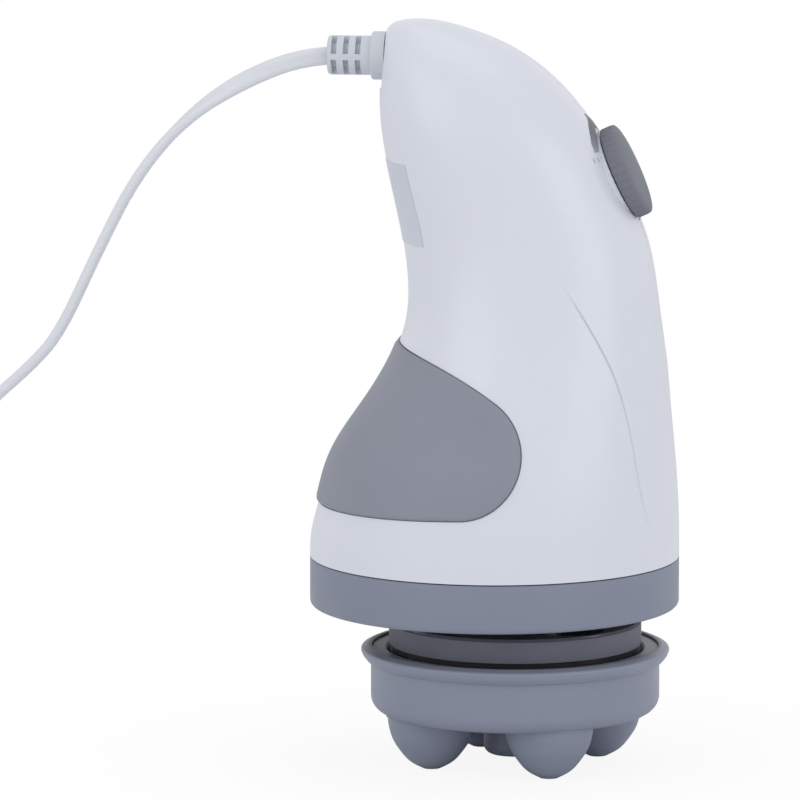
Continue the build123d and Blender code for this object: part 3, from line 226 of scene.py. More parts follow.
def add(tree, kind, values=None, links=None, **settings):
    """A new shader node with its constants, its links and its settings."""
    made = tree.nodes.new("ShaderNode" + kind)
    for name, value in settings.items():
        setattr(made, name, value)
    set_inputs(made, values or {})
    for socket, source in (links or {}).items():
        tree.links.new(source, made.inputs[socket])
    return made


def start_material(name):
    """A new material, its tree, its surface shader and the place of a point on the object."""
    made = bpy.data.materials.new(name)
    made.use_nodes = True
    tree = made.node_tree
    shader = tree.nodes["Principled BSDF"]
    place = add(tree, "TexCoord")
    return made, tree, shader, place.outputs["Object"]


def surface(tree, shader, factor, light, dark, rough, spread, height, depth_mm):
    """Two near shades and an uneven gloss by one factor, and a bump by a height, wired into the shader."""
    shade = add(tree, "Mix", {6: ink(light), 7: ink(dark)}, {0: factor}, data_type="RGBA")
    ends = {"From Min": 0.3, "From Max": 0.7, "To Min": rough - spread, "To Max": rough + spread}
    gloss = add(tree, "MapRange", ends, {"Value": factor})
    relief = add(tree, "Bump", {"Distance": depth_mm * MM}, {"Height": height})
    tree.links.new(shade.outputs[2], shader.inputs["Base Color"])
    tree.links.new(gloss.outputs["Result"], shader.inputs["Roughness"])
    tree.links.new(relief.outputs["Normal"], shader.inputs["Normal"])


def moulded(name, light, dark, rough, grain_mm, depth_mm, patch_mm=18.0, coat=0.0, sheen=0.0):
    """Moulded plastic or rubber: two near shades in soft patches, a fine grain as bump, uneven gloss."""
    made, tree, shader, place = start_material(name)
    patches = add(tree, "TexNoise", {"Scale": 1000 / patch_mm, "Detail": 3.0}, {"Vector": place})
    fine = {"Scale": 1000 / grain_mm, "Detail": 4.0, "Roughness": 0.6}
    grain = add(tree, "TexNoise", fine, {"Vector": place})
    surface(tree, shader, patches.outputs["Fac"], light, dark, rough, 0.05, grain.outputs["Fac"], depth_mm)
    set_inputs(shader, {"Coat Weight": coat, "Coat Roughness": 0.12, "Sheen Weight": sheen})
    return made


def metal(name, light, dark, rough, grain_mm, stretch=(1, 1, 1), depth_mm=0.01):
    """Bare metal: two near tones and a bump in grains that are stretched along the way it was worked."""
    made, tree, shader, place = start_material(name)
    turn = add(tree, "Mapping", {"Scale": stretch}, {"Vector": place})
    fine = {"Scale": 1000 / grain_mm, "Detail": 3.0}
    grain = add(tree, "TexNoise", fine, {"Vector": turn.outputs["Vector"]})
    surface(tree, shader, grain.outputs["Fac"], light, dark, rough, 0.06, grain.outputs["Fac"], depth_mm)
    set_inputs(shader, {"Metallic": 1.0})
    return made


def banded(name, light, dark, rough, band_mm, metallic, depth_mm):
    """Sheets or wires packed one above another: level bands of one height, with grooves between."""
    made, tree, shader, place = start_material(name)
    even = {"Scale": 1000 / band_mm / 20 * math.pi, "Distortion": 0.3, "Detail": 1.0}
    bands = add(tree, "TexWave", even, {"Vector": place}, bands_direction="Z")
    surface(tree, shader, bands.outputs["Fac"], dark, light, rough, 0.04, bands.outputs["Fac"], depth_mm)
    set_inputs(shader, {"Metallic": metallic})
    return made


def faded_ink(name, light, dark, low_mm, high_mm):
    """Printed ink whose shade runs from light at the lower level to dark at the upper one."""
    made, tree, shader, place = start_material(name)
    level = add(tree, "SeparateXYZ", links={0: place})
    ends = {"From Min": low_mm * MM, "From Max": high_mm * MM}
    share = add(tree, "MapRange", ends, {"Value": level.outputs["Z"]})
    speckle = add(tree, "TexNoise", {"Scale": 1000 / 0.4}, {"Vector": place})
    surface(tree, shader, share.outputs["Result"], light, dark, 0.5, 0.04, speckle.outputs["Fac"], 0.003)
    return made


def paint_shade_below(made, level_mm):
    """Paints black, as painted shade, what a material covers below a level, for a gap where shadow falls."""
    tree = made.node_tree
    shader = tree.nodes["Principled BSDF"]
    shade = shader.inputs["Base Color"].links[0].from_socket
    place = add(tree, "TexCoord")
    level = add(tree, "SeparateXYZ", links={0: place.outputs["Object"]})
    height = {0: level.outputs["Z"]}
    over = add(tree, "Math", {1: level_mm * MM}, height, operation="GREATER_THAN")
    mixed = {0: over.outputs[0], 7: shade}
    # Near black painted shade over the colour below the level.
    painted_shade = add(tree, "Mix", {6: ink("#060607")}, mixed, data_type="RGBA")
    tree.links.new(painted_shade.outputs[2], shader.inputs["Base Color"])


# Injection-moulded ABS from a polished tool: a cool white with a soft gloss and a barely seen orange peel.
casing_abs = moulded("casing_abs_gloss_moulded", "#DADDE8", "#D5D9E4", 0.36, 5.0, 0.004, 40.0, coat=0.12)
# Over-moulded thermoplastic elastomer from an eroded tool: dead matte grey with a fine dry grain.
grip_tpe = moulded("grip_tpe_matte_moulded", "#8A8E9B", "#848895", 0.66, 0.45, 0.012, 25.0, sheen=0.05)
# Injection-moulded ABS from a blasted tool: satin mid grey with soft wide highlights.
ring_abs = moulded("ring_abs_satin_moulded", "#81879A", "#7C8294", 0.46, 0.8, 0.004, 25.0)
# Injection-moulded polypropylene: the same grey, a little waxy, with slightly sharper highlights.
head_pp = moulded("head_pp_satin_moulded", "#878DA0", "#82889A", 0.42, 0.9, 0.004, 20.0)
# Moulded glass-filled nylon: dark grey, matte and faintly mottled by the fibres. What lies below 35.2 mm is
# painted black: painted shade for the shadowed gap over the clip ring, which draws the dark line round it.
drum_nylon = moulded("drum_nylon_glass_filled", "#6C707D", "#666A77", 0.6, 0.6, 0.008)
# Painted shade: the drum is black below 35.2 mm, for the shadow in the gap over the clip ring.
paint_shade_below(drum_nylon, 35.2)
# Injection-moulded ABS of the dial: dark grey that lets its fine ridges read.
dial_abs = moulded("dial_abs_moulded", "#757884", "#6F727E", 0.72, 0.7, 0.006)
# Moulded glass-filled nylon of the hidden frame parts: near black and dry.
black_nylon = moulded("black_nylon_glass_filled", "#1D1E20", "#17181A", 0.55, 0.6, 0.01)
# Metallised polyester film: a blank, flat silver grey, smoother than the casing round it.
label_film = moulded("label_polyester_film", "#CBCFDB", "#C4C9D6", 0.36, 1.2, 0.002)
# Pad-printed ink of the crescent: dark grey at its top, fading towards the casing's colour below.
crescent_ink = faded_ink("crescent_ink_pad_printed", "#A4A7B2", "#62646E", 178.0, 184.0)
# Pad-printed ink of the marks under the crescent: a faint even grey.
mark_ink = moulded("mark_ink_pad_printed", "#A6A8B1", "#A0A2AB", 0.5, 0.5, 0.002)
# Extruded PVC sheath: off-white, faintly glossy, with slight waves from the extruder.
cord_pvc = moulded("cord_pvc_extruded", "#DCDFE5", "#D5D9E0", 0.42, 1.6, 0.01, 30.0)
# Moulded soft PVC of the cord's sleeve and plug: off-white, a shade duller than the sheath.
relief_pvc = moulded("relief_pvc_moulded", "#CDD1D9", "#C6CBD4", 0.48, 1.0, 0.01)
# Moulded nitrile: black and dull, as a seal looks.
snap_rubber = moulded("snap_nitrile_moulded", "#1A1A1B", "#141415", 0.6, 0.5, 0.01)
# Pressed carbon: black, dusty and coarse.
carbon = moulded("brush_carbon_pressed", "#1B1B1C", "#101011", 0.7, 0.3, 0.02)
# Laminated glass epoxy under solder mask: green with a glassy top.
board_epoxy = moulded("board_glass_epoxy_laminated", "#1F5A33", "#184A29", 0.35, 1.5, 0.01, 3.0)
# Moulded capacitor case: plain blue with a low gloss.
capacitor_case = moulded("capacitor_case_moulded", "#3A5F97", "#34578C", 0.35, 1.0, 0.005)
# Injection-moulded nylon: milky white, for the terminals and the clamp.
terminal_nylon = moulded("terminal_nylon_moulded", "#D5D5CE", "#CCCCC4", 0.5, 0.8, 0.008)
# Extruded PVC insulation: plain red.
wire_pvc = moulded("wire_pvc_extruded", "#A32222", "#951C1C", 0.4, 1.0, 0.005)
# Ground steel: bright, with fine rings from the wheel.
steel_ground = metal("steel_ground", "#C4C4C8", "#A9A9AE", 0.28, 0.6, (1, 1, 8))
# Zinc-plated steel: slightly cloudy silver.
steel_zinc = metal("steel_zinc_plated", "#C9CACD", "#B2B3B8", 0.34, 0.9)
# Polished bearing steel: the brightest and smoothest of the metals.
bearing_steel = metal("bearing_steel_polished", "#D2D2D5", "#C2C2C6", 0.16, 1.2)
# Die-cast zinc: darker, rough and pitted.
zinc_cast = metal("counterweight_zinc_cast", "#9A9BA0", "#85868B", 0.5, 0.7, depth_mm=0.04)
# Nickel-plated brass: warm silver, drawn along the pins.
pin_nickel = metal("pin_nickel_plated_brass", "#D6D3CC", "#C7C3BA", 0.2, 0.9, (10, 1, 1))
# Extruded aluminium: pale, with die lines.
sink_aluminium = metal("heat_sink_aluminium_extruded", "#CFD0D2", "#BABBBE", 0.38, 0.5, (1, 1, 6))
# Turned copper: orange with tool rings.
commutator_copper = metal("commutator_copper_turned", "#D08A5E", "#BD7448", 0.3, 0.4, (1, 1, 10))
# Stacked lamination steel: half-millimetre sheets with dark joints between.
lamination = banded("core_lamination_stacked", "#8E8E92", "#4C4C50", 0.42, 0.5, 1.0, 0.05)
# Wound enamelled copper wire: amber-brown turns, one above another.
winding_copper = banded("winding_copper_enamelled", "#C6784A", "#7C3F22", 0.32, 0.4, 0.6, 0.15)

cad_finishes = (
    (relief_pvc, "strain_relief"),
    (pin_nickel, "plug_pins"),
    (black_nylon, "chassis_plate", "lower_motor_bracket", "upper_motor_bracket"),
    (black_nylon, "brush_holders", "cooling_fan"),
    (drum_nylon, "orbit_drum"),
    (head_pp, "clip_ring"),
    (snap_rubber, "snap_ring"),
    (lamination, "motor_stator", "armature_core"),
    (winding_copper, "field_coils", "armature_winding"),
    (commutator_copper, "commutator"),
    (carbon, "carbon_brushes"),
    (steel_ground, "motor_shaft", "guide_pegs", "eccentric", "bearing_clip"),
    (zinc_cast, "counterweight"),
    (bearing_steel, "lower_bearing", "upper_bearing", "head_bearing"),
    (steel_zinc, "brush_springs", "grub_screw", "crank_screw", "housing_screws", "chassis_screws"),
    (steel_zinc, "motor_bolts", "clamp_screws", "potentiometer", "potentiometer_nut"),
    (sink_aluminium, "dial_shaft", "heat_sink"),
    (board_epoxy, "control_board"),
    (capacitor_case, "suppression_capacitor"),
    (terminal_nylon, "terminal_block", "cord_clamp"),
    (cord_pvc, "inner_lead"),
    (wire_pvc, "motor_leads"),
)
for finish, *node_names in cad_finishes:
    for node_name in node_names:
        mesh = nodes[node_name].data
        mesh.materials.clear()
        mesh.materials.append(finish)


# Mains cord

cord_width = 5.2
cord_thickness = 3.3
cord_radius = cord_width / 2
cord_height = 204.1
relief_end_x = -47.9
coil_x = -214.0
coil_entry_y = 22.0
coil_mean_radius = 31.0
coil_turns = 7.0
coil_layers = 4
coil_pitch = cord_width + 0.6
coil_steps = 16
waist_depth = 0.16
waist_width = 0.55
twist_start = 18.0
twist_end = 62.0
plug_entry_x = -268.0
plug_y = 24.0
plug_thickness = 13.7
ridge_half = 4.2
ridge_narrows = 0.6
ridge_first = 29.0
ridge_spacing = 3.0

lead_points = [
    (relief_end_x + 6.1, 0.0, cord_height),
    (relief_end_x - 5.7, 0.0, cord_height),
    (-72.0, 0.0, 197.0),
    (-88.4, 0.0, 186.1),
    (-103.4, 0.0, 169.0),
    (-115.4, 0.0, 145.4),
    (-125.7, 0.0, 123.1),
    (-134.0, 0.3, 113.2),
    (-151.0, 2.0, 98.4),
    (-160.5, 6.0, 77.4),
    (-168.0, 10.8, 58.0),
    (-174.5, 15.5, 41.0),
    (-183.0, 19.4, 27.6),
    (-198.0, coil_entry_y, 20.0),
]
tail_points = [
    (-226.0, coil_entry_y, cord_radius),
    (-242.0, 23.2, 5.2),
    (-256.0, plug_y, plug_thickness / 2),
    (plug_entry_x, plug_y, plug_thickness / 2),
]


def coil_control_points():
    """A spiral that runs in and out at a steady rate, and drops a layer each time it turns back.

    The control points stand a little outside the turns, because the spline runs inside its polygon."""
    turn = np.arange(0, round(coil_turns * coil_steps) + 1) / coil_steps
    per_layer = coil_turns / coil_layers
    layer = np.minimum((turn / per_layer).astype(int), coil_layers - 1)
    along = turn - layer * per_layer
    outer = coil_mean_radius + coil_pitch * per_layer / 2
    inner = coil_mean_radius - coil_pitch * per_layer / 2
    radius = np.where(layer % 2 == 0, outer - coil_pitch * along, inner + coil_pitch * along)
    drop = np.zeros_like(turn)
    for boundary in range(1, coil_layers):
        drop += smoothstep(-0.25, 0.25, turn - boundary * per_layer)
    height = cord_radius + coil_pitch * (coil_layers - 1 - drop)
    angle = math.tau * (turn + 0.25)
    swell = 1 / math.cos(math.pi / coil_steps)
    middle_y = coil_entry_y - outer
    x = coil_x + swell * radius * np.cos(angle)
    y = middle_y + swell * radius * np.sin(angle)
    return np.stack([x, y, height], 1)


def cord_path():
    """The smooth line of the whole cord, read from a NURBS curve with the route's points."""
    route = np.concatenate([lead_points, coil_control_points(), tail_points])
    data = bpy.data.curves.new("cord_route", "CURVE")
    data.dimensions = "3D"
    line = data.splines.new("NURBS")
    line.points.add(len(route) - 1)
    line.points.foreach_set("co", np.column_stack([route * MM, np.ones(len(route))]).ravel())
    line.order_u = 3
    line.use_endpoint_u = True
    line.resolution_u = 6
    carrier = placed("cord_route", data)
    bpy.context.view_layer.update()
    mesh = bpy.data.meshes.new_from_object(carrier)
    points = np.empty(len(mesh.vertices) * 3)
    mesh.vertices.foreach_get("co", points)
    bpy.data.objects.remove(carrier)
    bpy.data.meshes.remove(mesh)
    return points.reshape(-1, 3) / MM


def carried(path, across, along, spin):
    """A section (across, along) carried on a path. Its first axis leans from upright to level by spin."""
    ahead = np.gradient(path, axis=0)
    ahead /= np.linalg.norm(ahead, axis=1, keepdims=True)
    upright = np.array([0, 0, 1.0]) - ahead * ahead[:, 2:3]
    upright /= np.linalg.norm(upright, axis=1, keepdims=True)
    sideways = np.cross(ahead, upright)
    wide = np.cos(spin)[:, None] * upright + np.sin(spin)[:, None] * sideways
    thin = np.cross(ahead, wide)
    return path[:, None] + wide[:, None] * across[None, :, None] + thin[:, None] * along[None, :, None]


def end_cap(ring, steps=3):
    """Rings shrinking to the middle of a section's end, so the tube is closed."""
    middle = ring.mean(0)
    share = np.linspace(1, 0, steps + 1)[1:, None, None]
    return middle + (ring - middle) * share


def capped(rings):
    """A tube of rings with both its ends closed."""
    return np.concatenate([end_cap(rings[0])[::-1], rings, end_cap(rings[-1])])


def make_cord():
    """Flat twin flex: two cores side by side under one sheath, with a waist between, twisting on its way.

    The half width goes by |cos a|^0.8 and the half thickness by |sin a|^0.9 times a Gaussian waist."""
    path = cord_path()
    turn = full_turn(28)
    across = cord_radius * signed_power(np.cos(turn), 0.8)
    waist = 1 - waist_depth * np.exp(-((across / waist_width) ** 2))
    along = cord_thickness / 2 * signed_power(np.sin(turn), 0.9) * waist
    done = np.concatenate([[0], np.cumsum(np.linalg.norm(np.diff(path, axis=0), axis=1))])
    spin = math.pi / 2 * smoothstep(twist_start, twist_end, done)
    rings = carried(path, across, along, spin)
    mesh = mesh_of("mains_cord", [(capped(rings), False, True)])
    return link_piece("mains_cord", mesh, cord_pvc, "casing"), path


def section_loft(stations, segments, squareness):
    """Superellipse sections (along, half width, half height) joined by a spline over their places."""
    table = np.array(stations, float)
    fine = np.linspace(table[0, 0], table[-1, 0], 90)
    wide, high = spline(table[:, 0], table[:, 1], fine), spline(table[:, 0], table[:, 2], fine)
    square = spline(table[:, 0], table[:, 3], fine)[:, None]
    turn = full_turn(segments)[None]
    across = signed_power(np.cos(turn), 2 / square) * wide[:, None]
    rise = signed_power(np.sin(turn), 2 / square) * high[:, None]
    return np.stack([np.broadcast_to(fine[:, None], across.shape), across, rise], 2)


# Distance from the cord's entry, half width, half thickness and squareness of the plug.
plug_stations = [
    (0.0, 4.1, 4.1, 2.0),
    (3.0, 4.5, 4.5, 2.0),
    (9.0, 4.9, 4.7, 2.0),
    (15.0, 6.6, 5.4, 2.2),
    (20.0, 10.6, 6.2, 2.8),
    (26.0, 15.2, 6.7, 3.6),
    (33.0, 16.4, 6.85, 4.4),
    (41.0, 15.2, 6.85, 4.4),
    (46.0, 13.4, 6.7, 4.2),
    (48.2, 12.6, 6.3, 4.0),
    (49.0, 11.4, 5.3, 3.6),
]


def make_plug():
    """The plug's body, with four finger ridges, each shorter than the one before.

    Superellipses swell from the cord's neck and narrow to the pins. A ridge's height goes by the square root
    of 1 - s^4 of the share s from its middle."""
    grid = section_loft(plug_stations, 96, 3)
    middle = np.array([plug_entry_x, plug_y, plug_thickness / 2])
    grid = capped(middle + grid * np.array([-1, 1, 1]))
    grips = []
    for k in range(4):
        half = ridge_half - k * ridge_narrows
        line = np.linspace(-half, half, 24)
        turn = full_turn(12)
        taper = np.sqrt(np.clip(1 - (line / (half + 0.05)) ** 4, 0.02, 1))
        x = plug_entry_x - ridge_first - k * ridge_spacing + 0.55 * taper[:, None] * np.cos(turn)
        z = plug_thickness - 0.1 + 0.4 * taper[:, None] * np.sin(turn)
        y = plug_y + np.broadcast_to(line[:, None], x.shape)
        ridge = np.stack([x, y, z], 2)
        grips.append((capped(ridge), False, True))
    mesh = mesh_of("plug_cover", [(grid, False, True)] + grips)
    piece = link_piece("plug_cover", mesh, relief_pvc, "casing")
    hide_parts("plug_body")
    return piece


cord_piece, cord_line = make_cord()
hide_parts("cord_lead", "cord_coil", "cord_tail")
plug_piece = make_plug()


# Casing

# Height, left edge, right edge, half width and squareness of the casing's sections.
body_stations = np.array([
    (60.6, -53.0, 53.0, 53.0, 2.00),
    (67.5, -52.6, 53.0, 52.8, 2.00),
    (74.5, -50.9, 52.8, 52.2, 2.02),
    (89.4, -46.6, 51.8, 49.5, 2.08),
    (104.2, -37.3, 50.4, 45.0, 2.14),
    (117.2, -29.5, 49.2, 40.5, 2.20),
    (129.0, -25.3, 47.6, 36.5, 2.22),
    (140.9, -24.7, 46.0, 33.5, 2.25),
    (153.8, -26.4, 43.1, 31.5, 2.25),
    (166.8, -29.2, 37.6, 30.5, 2.25),
    (178.6, -31.6, 32.1, 29.8, 2.22),
    (188.5, -32.8, 25.5, 28.0, 2.20),
    (196.5, -32.9, 18.6, 25.0, 2.15),
    (203.5, -32.7, 10.3, 20.8, 2.10),
    (208.8, -32.0, 0.9, 15.5, 2.05),
    (212.4, -30.6, -8.9, 10.4, 2.00),
    (214.2, -27.4, -16.4, 5.6, 2.00),
    (214.6, -21.9, -21.9, 0.0, 2.00),
])
casing_wall = 2.4
side_radius = 45
inner_columns = 60


# The length along the skin up to each section: its rise, and the mean of its sides' steps by squares.
steps = np.diff(body_stations[:, :4], axis=0) ** 2
body_length = np.concatenate([[0], np.cumsum(np.sqrt(steps[:, 0] + steps[:, 1:].mean(1)))])
fine_length = np.linspace(0, body_length[-1], 4000)
fine_height = spline(body_length, body_stations[:, 0], fine_length)


def length_at(height):
    """The length along the skin at which the casing has that height."""
    return np.interp(height, fine_height, fine_length)


def body_section(length):
    """Height, left edge, right edge, half width and squareness of the section at a length."""
    return [spline(body_length, body_stations[:, k], length) for k in range(5)]


def body_points(angle, length):
    """Superellipse sections: x = middle + a |cos|^(2/n), y = b |sin|^(2/n), with signs kept."""
    height, left, right, half, square = body_section(length)
    x = (left + right) / 2 + (right - left) / 2 * signed_power(np.cos(angle), 2 / square)
    y = half * signed_power(np.sin(angle), 2 / square)
    return np.stack([x, y, height * np.ones_like(x)], -1)


def skin(angle, length, lift=0.0):
    """A point of the casing's surface, moved out along the surface's normal by lift."""
    step = 0.02
    length = np.clip(length, 0.0, body_length[-1] - 0.05)
    low = body_points(angle, np.maximum(length - step, 0))
    high = body_points(angle, length + step)
    wide = body_points(angle + step / 10, length) - body_points(angle - step / 10, length)
    normal = np.cross(wide, high - low)
    normal /= np.maximum(np.linalg.norm(normal, axis=-1, keepdims=True), 1e-9)
    return body_points(angle, length) + normal * np.asarray(lift)[..., None]


def angle_at(x, height):
    """The section angle on the +Y side at which the casing's surface has that x."""
    _, left, right, _, square = body_section(length_at(height))
    share = np.clip((x - (left + right) / 2) / ((right - left) / 2), -1, 1)
    return np.arccos(signed_power(share, square / 2))


# The styling line on each side, as (x, height), from the shoulder down to the front of the ring.
crease_line = np.array([
    (64.6, 48.6),
    (74.0, 46.7),
    (86.4, 44.3),
    (98.5, 42.3),
    (110.4, 39.6),
    (121.1, 35.7),
    (131.9, 29.8),
    (138.6, 25.6),
    (148.1, 19.0),
    (162.4, 11.5),
    (180.0, 4.0),
    (198.0, -4.0),
])
crease_depth = 0.5
crease_width = 0.3
crease_reach = 2.4
crease_top = 148.0
crease_bottom = 72.0
seam_depth = 0.28
seam_angle = 0.009


def crease_angle(height):
    """The styling line's section angle: a spline over the angles of its points."""
    return spline(crease_line[:, 0], angle_at(crease_line[:, 1], crease_line[:, 0]), height)


def half_shell(side):
    """Half of the casing: the outer skin from front to back, then the inner one back, as one closed loop.

    Columns gather at the styling line, a groove with a Gaussian section that fades at both ends. The seam is
    a shallow Gaussian groove at the half's own edges, and ends under the crown."""
    length = np.concatenate([
        np.linspace(0, body_length[-1] - 12, 190, endpoint=False),
        body_length[-1] - 12 * np.linspace(1, 0, 26) ** 1.2,
    ])
    length = np.minimum(length, body_length[-1] - 0.06)
    height = body_section(length)[0]
    crease = crease_angle(np.clip(height, crease_line[0, 0], crease_line[-1, 0]))
    near = np.array([-2.2, -1.6, -1.1, -0.8, -0.55, -0.35, -0.18, 0, 0.18, 0.35, 0.55, 0.8, 1.1, 1.6, 2.2])
    edge = 0.004
    front = np.linspace(0, 1, 44, endpoint=False)
    back = np.linspace(1, 0, 96, endpoint=False)[::-1]
    reach = crease_reach / side_radius
    low, high = edge, math.pi - edge
    angle = np.concatenate([
        low + (crease[:, None] - reach - low) * front[None],
        crease[:, None] + near[None] / side_radius,
        crease[:, None] + reach + (high - crease[:, None] - reach) * back[None],
    ], 1)
    away = (angle - crease[:, None]) * side_radius
    fade = smoothstep(crease_bottom - 6, crease_bottom + 12, height)
    fade = fade * (1 - smoothstep(crease_top - 16, crease_top, height))
    groove = -crease_depth * fade[:, None] * np.exp(-((away / crease_width) ** 2))
    seam = np.exp(-((angle / seam_angle) ** 2)) + np.exp(-(((math.pi - angle) / seam_angle) ** 2))
    seam = seam_depth * seam
    crown = 1 - smoothstep(body_length[-1] - 8, body_length[-1] - 3, length)
    outer = skin(angle, np.broadcast_to(length[:, None], angle.shape), groove - seam * crown[:, None])
    inner_angle = np.linspace(high, low, inner_columns)[None] * np.ones((len(length), 1))
    inner_length = np.minimum(length, body_length[-1] - 3.5)
    inner = skin(inner_angle, np.broadcast_to(inner_length[:, None], inner_angle.shape), -casing_wall)
    return np.concatenate([outer, inner], 1) * np.array([1, side, 1])


def half_mesh(side, name):
    """The mesh of one half of the casing, on +Y for side 1 and mirrored for side -1."""
    grid = half_shell(side)
    rows, columns = grid.shape[:2]
    outer_count = columns - inner_columns
    faces = patch_faces(rows, columns, False, True, 0)
    # The bottom and top rims join each inner column to the outer columns nearest to it.
    pick = np.linspace(outer_count - 1, 0, inner_columns).round().astype(int)
    rims = []
    for row in (0, rows - 1):
        base = row * columns
        for k in range(inner_columns - 1):
            inside = [base + outer_count + k, base + outer_count + k + 1]
            outside = list(range(base + pick[k + 1], base + pick[k] + 1))
            rims.append(outside + inside)
    mesh = bpy.data.meshes.new(name)
    mesh.from_pydata((grid.reshape(-1, 3) * MM).tolist(), [], faces.tolist() + rims)
    return weld_mesh(mesh, 0.002, None, True)


# The grip pad's outline in the side view, as (x, height).
pad_nose = (-4.9, 95.9)
pad_nose_radius = 17.8
pad_shoulder = 53.0
pad_apex = (-26.0, 123.2)
pad_foot = (-49.5, 76.4)
pad_bulge = 1.9
pad_drop = 1.2
pad_proud = 1.0
pad_under = 1.2
pad_bed = 1.4


def pad_boundary(grow):
    """The pad's edge on the +Y side as (angle, height) points, from the back's top round to its bottom."""
    nose_x, nose_z = pad_nose
    radius = pad_nose_radius + grow
    shoulder = math.radians(pad_shoulder)
    start = np.array([nose_x + radius * math.cos(shoulder), nose_z + radius * math.sin(shoulder)])
    apex = np.array([pad_apex[0] + grow * 0.3, pad_apex[1] + grow])
    share = np.linspace(0, 1, 90)[:, None]
    chord = start - apex
    out = np.array([-chord[1], chord[0]]) / np.linalg.norm(chord)
    top = apex + chord * share + out * pad_bulge * 4 * share * (1 - share)
    turn = np.linspace(shoulder, -math.pi / 2, 110)[1:]
    nose = np.stack([nose_x + radius * np.cos(turn), nose_z + radius * np.sin(turn)], 1)
    foot = np.array([pad_foot[0], pad_foot[1] - grow])
    bottom = nose[-1] + (foot - nose[-1]) * np.linspace(0, 1.4, 150)[1:, None]
    top_angle = angle_at(top[:, 0], top[:, 1])
    nose_angle = angle_at(nose[:, 0], nose[:, 1])
    bottom_angle = angle_at(bottom[:, 0], bottom[:, 1])
    inside = bottom_angle < math.pi - 1e-4
    last = bottom[inside][-1]
    top_start = np.array([[math.pi, apex[1] - pad_drop]])
    bottom_end = np.array([[math.pi, last[1] - 0.15]])
    crown = np.linspace(0, 1, 30)[1:-1, None]
    first = np.array([[top_angle[0], apex[1]]])
    lead = top_start + (first - top_start) * crown
    lead[:, 1] = apex[1] - pad_drop * (1 - np.sin(crown[:, 0] * math.pi / 2)) ** 2
    return np.concatenate([
        top_start,
        lead,
        np.stack([top_angle, top[:, 1]], 1),
        np.stack([nose_angle, nose[:, 1]], 1),
        np.stack([bottom_angle[inside], bottom[inside][:, 1]], 1),
        bottom_end,
    ])


def pad_loop(grow, samples=150):
    """The whole edge with the spine point that each of its points faces.

    Its upper and its lower border are read at the same angles, set close together by a square law at the
    nose, so that both meet the spine in the same points."""
    edge = pad_boundary(grow)
    tip = int(np.argmin(edge[:, 0]))
    angle = edge[tip, 0] + (math.pi - edge[tip, 0]) * np.linspace(1, 0, samples) ** 2
    upper = np.interp(angle, edge[tip::-1, 0], edge[tip::-1, 1])
    lower = np.interp(angle[::-1], edge[tip:, 0], edge[tip:, 1])
    side_angle = np.concatenate([angle, angle[-2::-1]])
    side_height = np.concatenate([upper, lower[1:]])
    far_angle = math.tau - side_angle[-2:0:-1]
    loop_angle = np.concatenate([side_angle, far_angle])
    loop_height = np.concatenate([side_height, side_height[-2:0:-1]])
    nose = float(angle_at(np.array([pad_nose[0] - 2]), np.array([pad_nose[1]]))[0])
    spine_angle = np.clip(loop_angle, nose, math.tau - nose)
    spine_height = np.full_like(loop_height, pad_nose[1] + 2.0)
    return loop_angle, loop_height, spine_angle, spine_height


def pad_grid(grow, insets, lifts, inner_rows, inner_lift):
    """Rings from the edge to the spine: each ring is set in by some mm and lifted off the casing's skin."""
    angle, height, spine_angle, spine_height = pad_loop(grow)
    span = np.hypot((spine_angle - angle) * side_radius, spine_height - height)
    shares = [np.minimum(inset / span, 0.9) for inset in insets]
    start = shares[-1]
    for k in range(1, inner_rows + 1):
        shares.append(start + (1 - start) * k / inner_rows)
    lifts = list(lifts) + [inner_lift] * inner_rows
    rings = []
    for share, lift in zip(shares, lifts):
        a = angle + (spine_angle - angle) * share
        h = height + (spine_height - height) * share
        rings.append(skin(a, length_at(h), np.full_like(a, lift)))
    return np.stack(rings)


def make_pad():
    """The grip pad: the casing's skin lifted by 1 mm inside its outline, with a rounded rim."""
    insets = [0.0, 0.0, 0.0, 0.12, 0.35, 0.75, 1.3, 2.2]
    lifts = [-pad_under, -0.3, 0.25, 0.6, 0.83, 0.95, pad_proud, pad_proud]
    top = pad_grid(-0.3, insets, lifts, 16, pad_proud)
    under = pad_grid(-0.3, [0.0, 0.4], [-pad_under, -pad_under], 8, -pad_under)
    mesh = mesh_of("grip_pad_cover", [(top, False, True), (under, False, True)], weld=0.004)
    piece = link_piece("grip_pad_cover", mesh, grip_tpe, "casing", 50)
    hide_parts("grip_pad")


def cutter(name, patches):
    """A solid to cut with."""
    return placed(name, mesh_of(name, patches, weld=0.003))


def cut(target_mesh, cutters):
    """The mesh left when each cutter's solid is taken out of it."""
    carrier = placed(target_mesh.name, target_mesh)
    for tool in cutters:
        taken = carrier.modifiers.new(tool.name, "BOOLEAN")
        taken.operation = "DIFFERENCE"
        taken.object = tool
        taken.solver = "EXACT"
    bpy.context.view_layer.update()
    depsgraph = bpy.context.evaluated_depsgraph_get()
    mesh = bpy.data.meshes.new_from_object(carrier.evaluated_get(depsgraph))
    bpy.data.objects.remove(carrier)
    return weld_mesh(mesh, 0.01, 0.005, False)


dial_centre = np.array([36.1, 0.0, 171.3])
dial_tilt = math.radians(24.5)
dial_axis = np.array([math.cos(dial_tilt), 0, math.sin(dial_tilt)])
dial_rise = np.array([-math.sin(dial_tilt), 0, math.cos(dial_tilt)])
dial_side = np.array([0, 1.0, 0])


def at_dial(grid):
    """Turns a grid made on the upright axis into the dial's frame."""
    aside, up, out = grid[..., 0:1], grid[..., 1:2], grid[..., 2:3]
    return dial_centre + aside * dial_side + up * dial_rise + out * dial_axis


def closed_turn(profile, segments=96):
    """A turned solid whose outline starts and ends on its axis."""
    return turned(np.array(profile, float), segments)


def laid_level(grid, x, z):
    """Turns a grid made on the upright axis to run along +Y through (x, z)."""
    return np.stack([x + grid[..., 0], grid[..., 2], z + grid[..., 1]], -1)


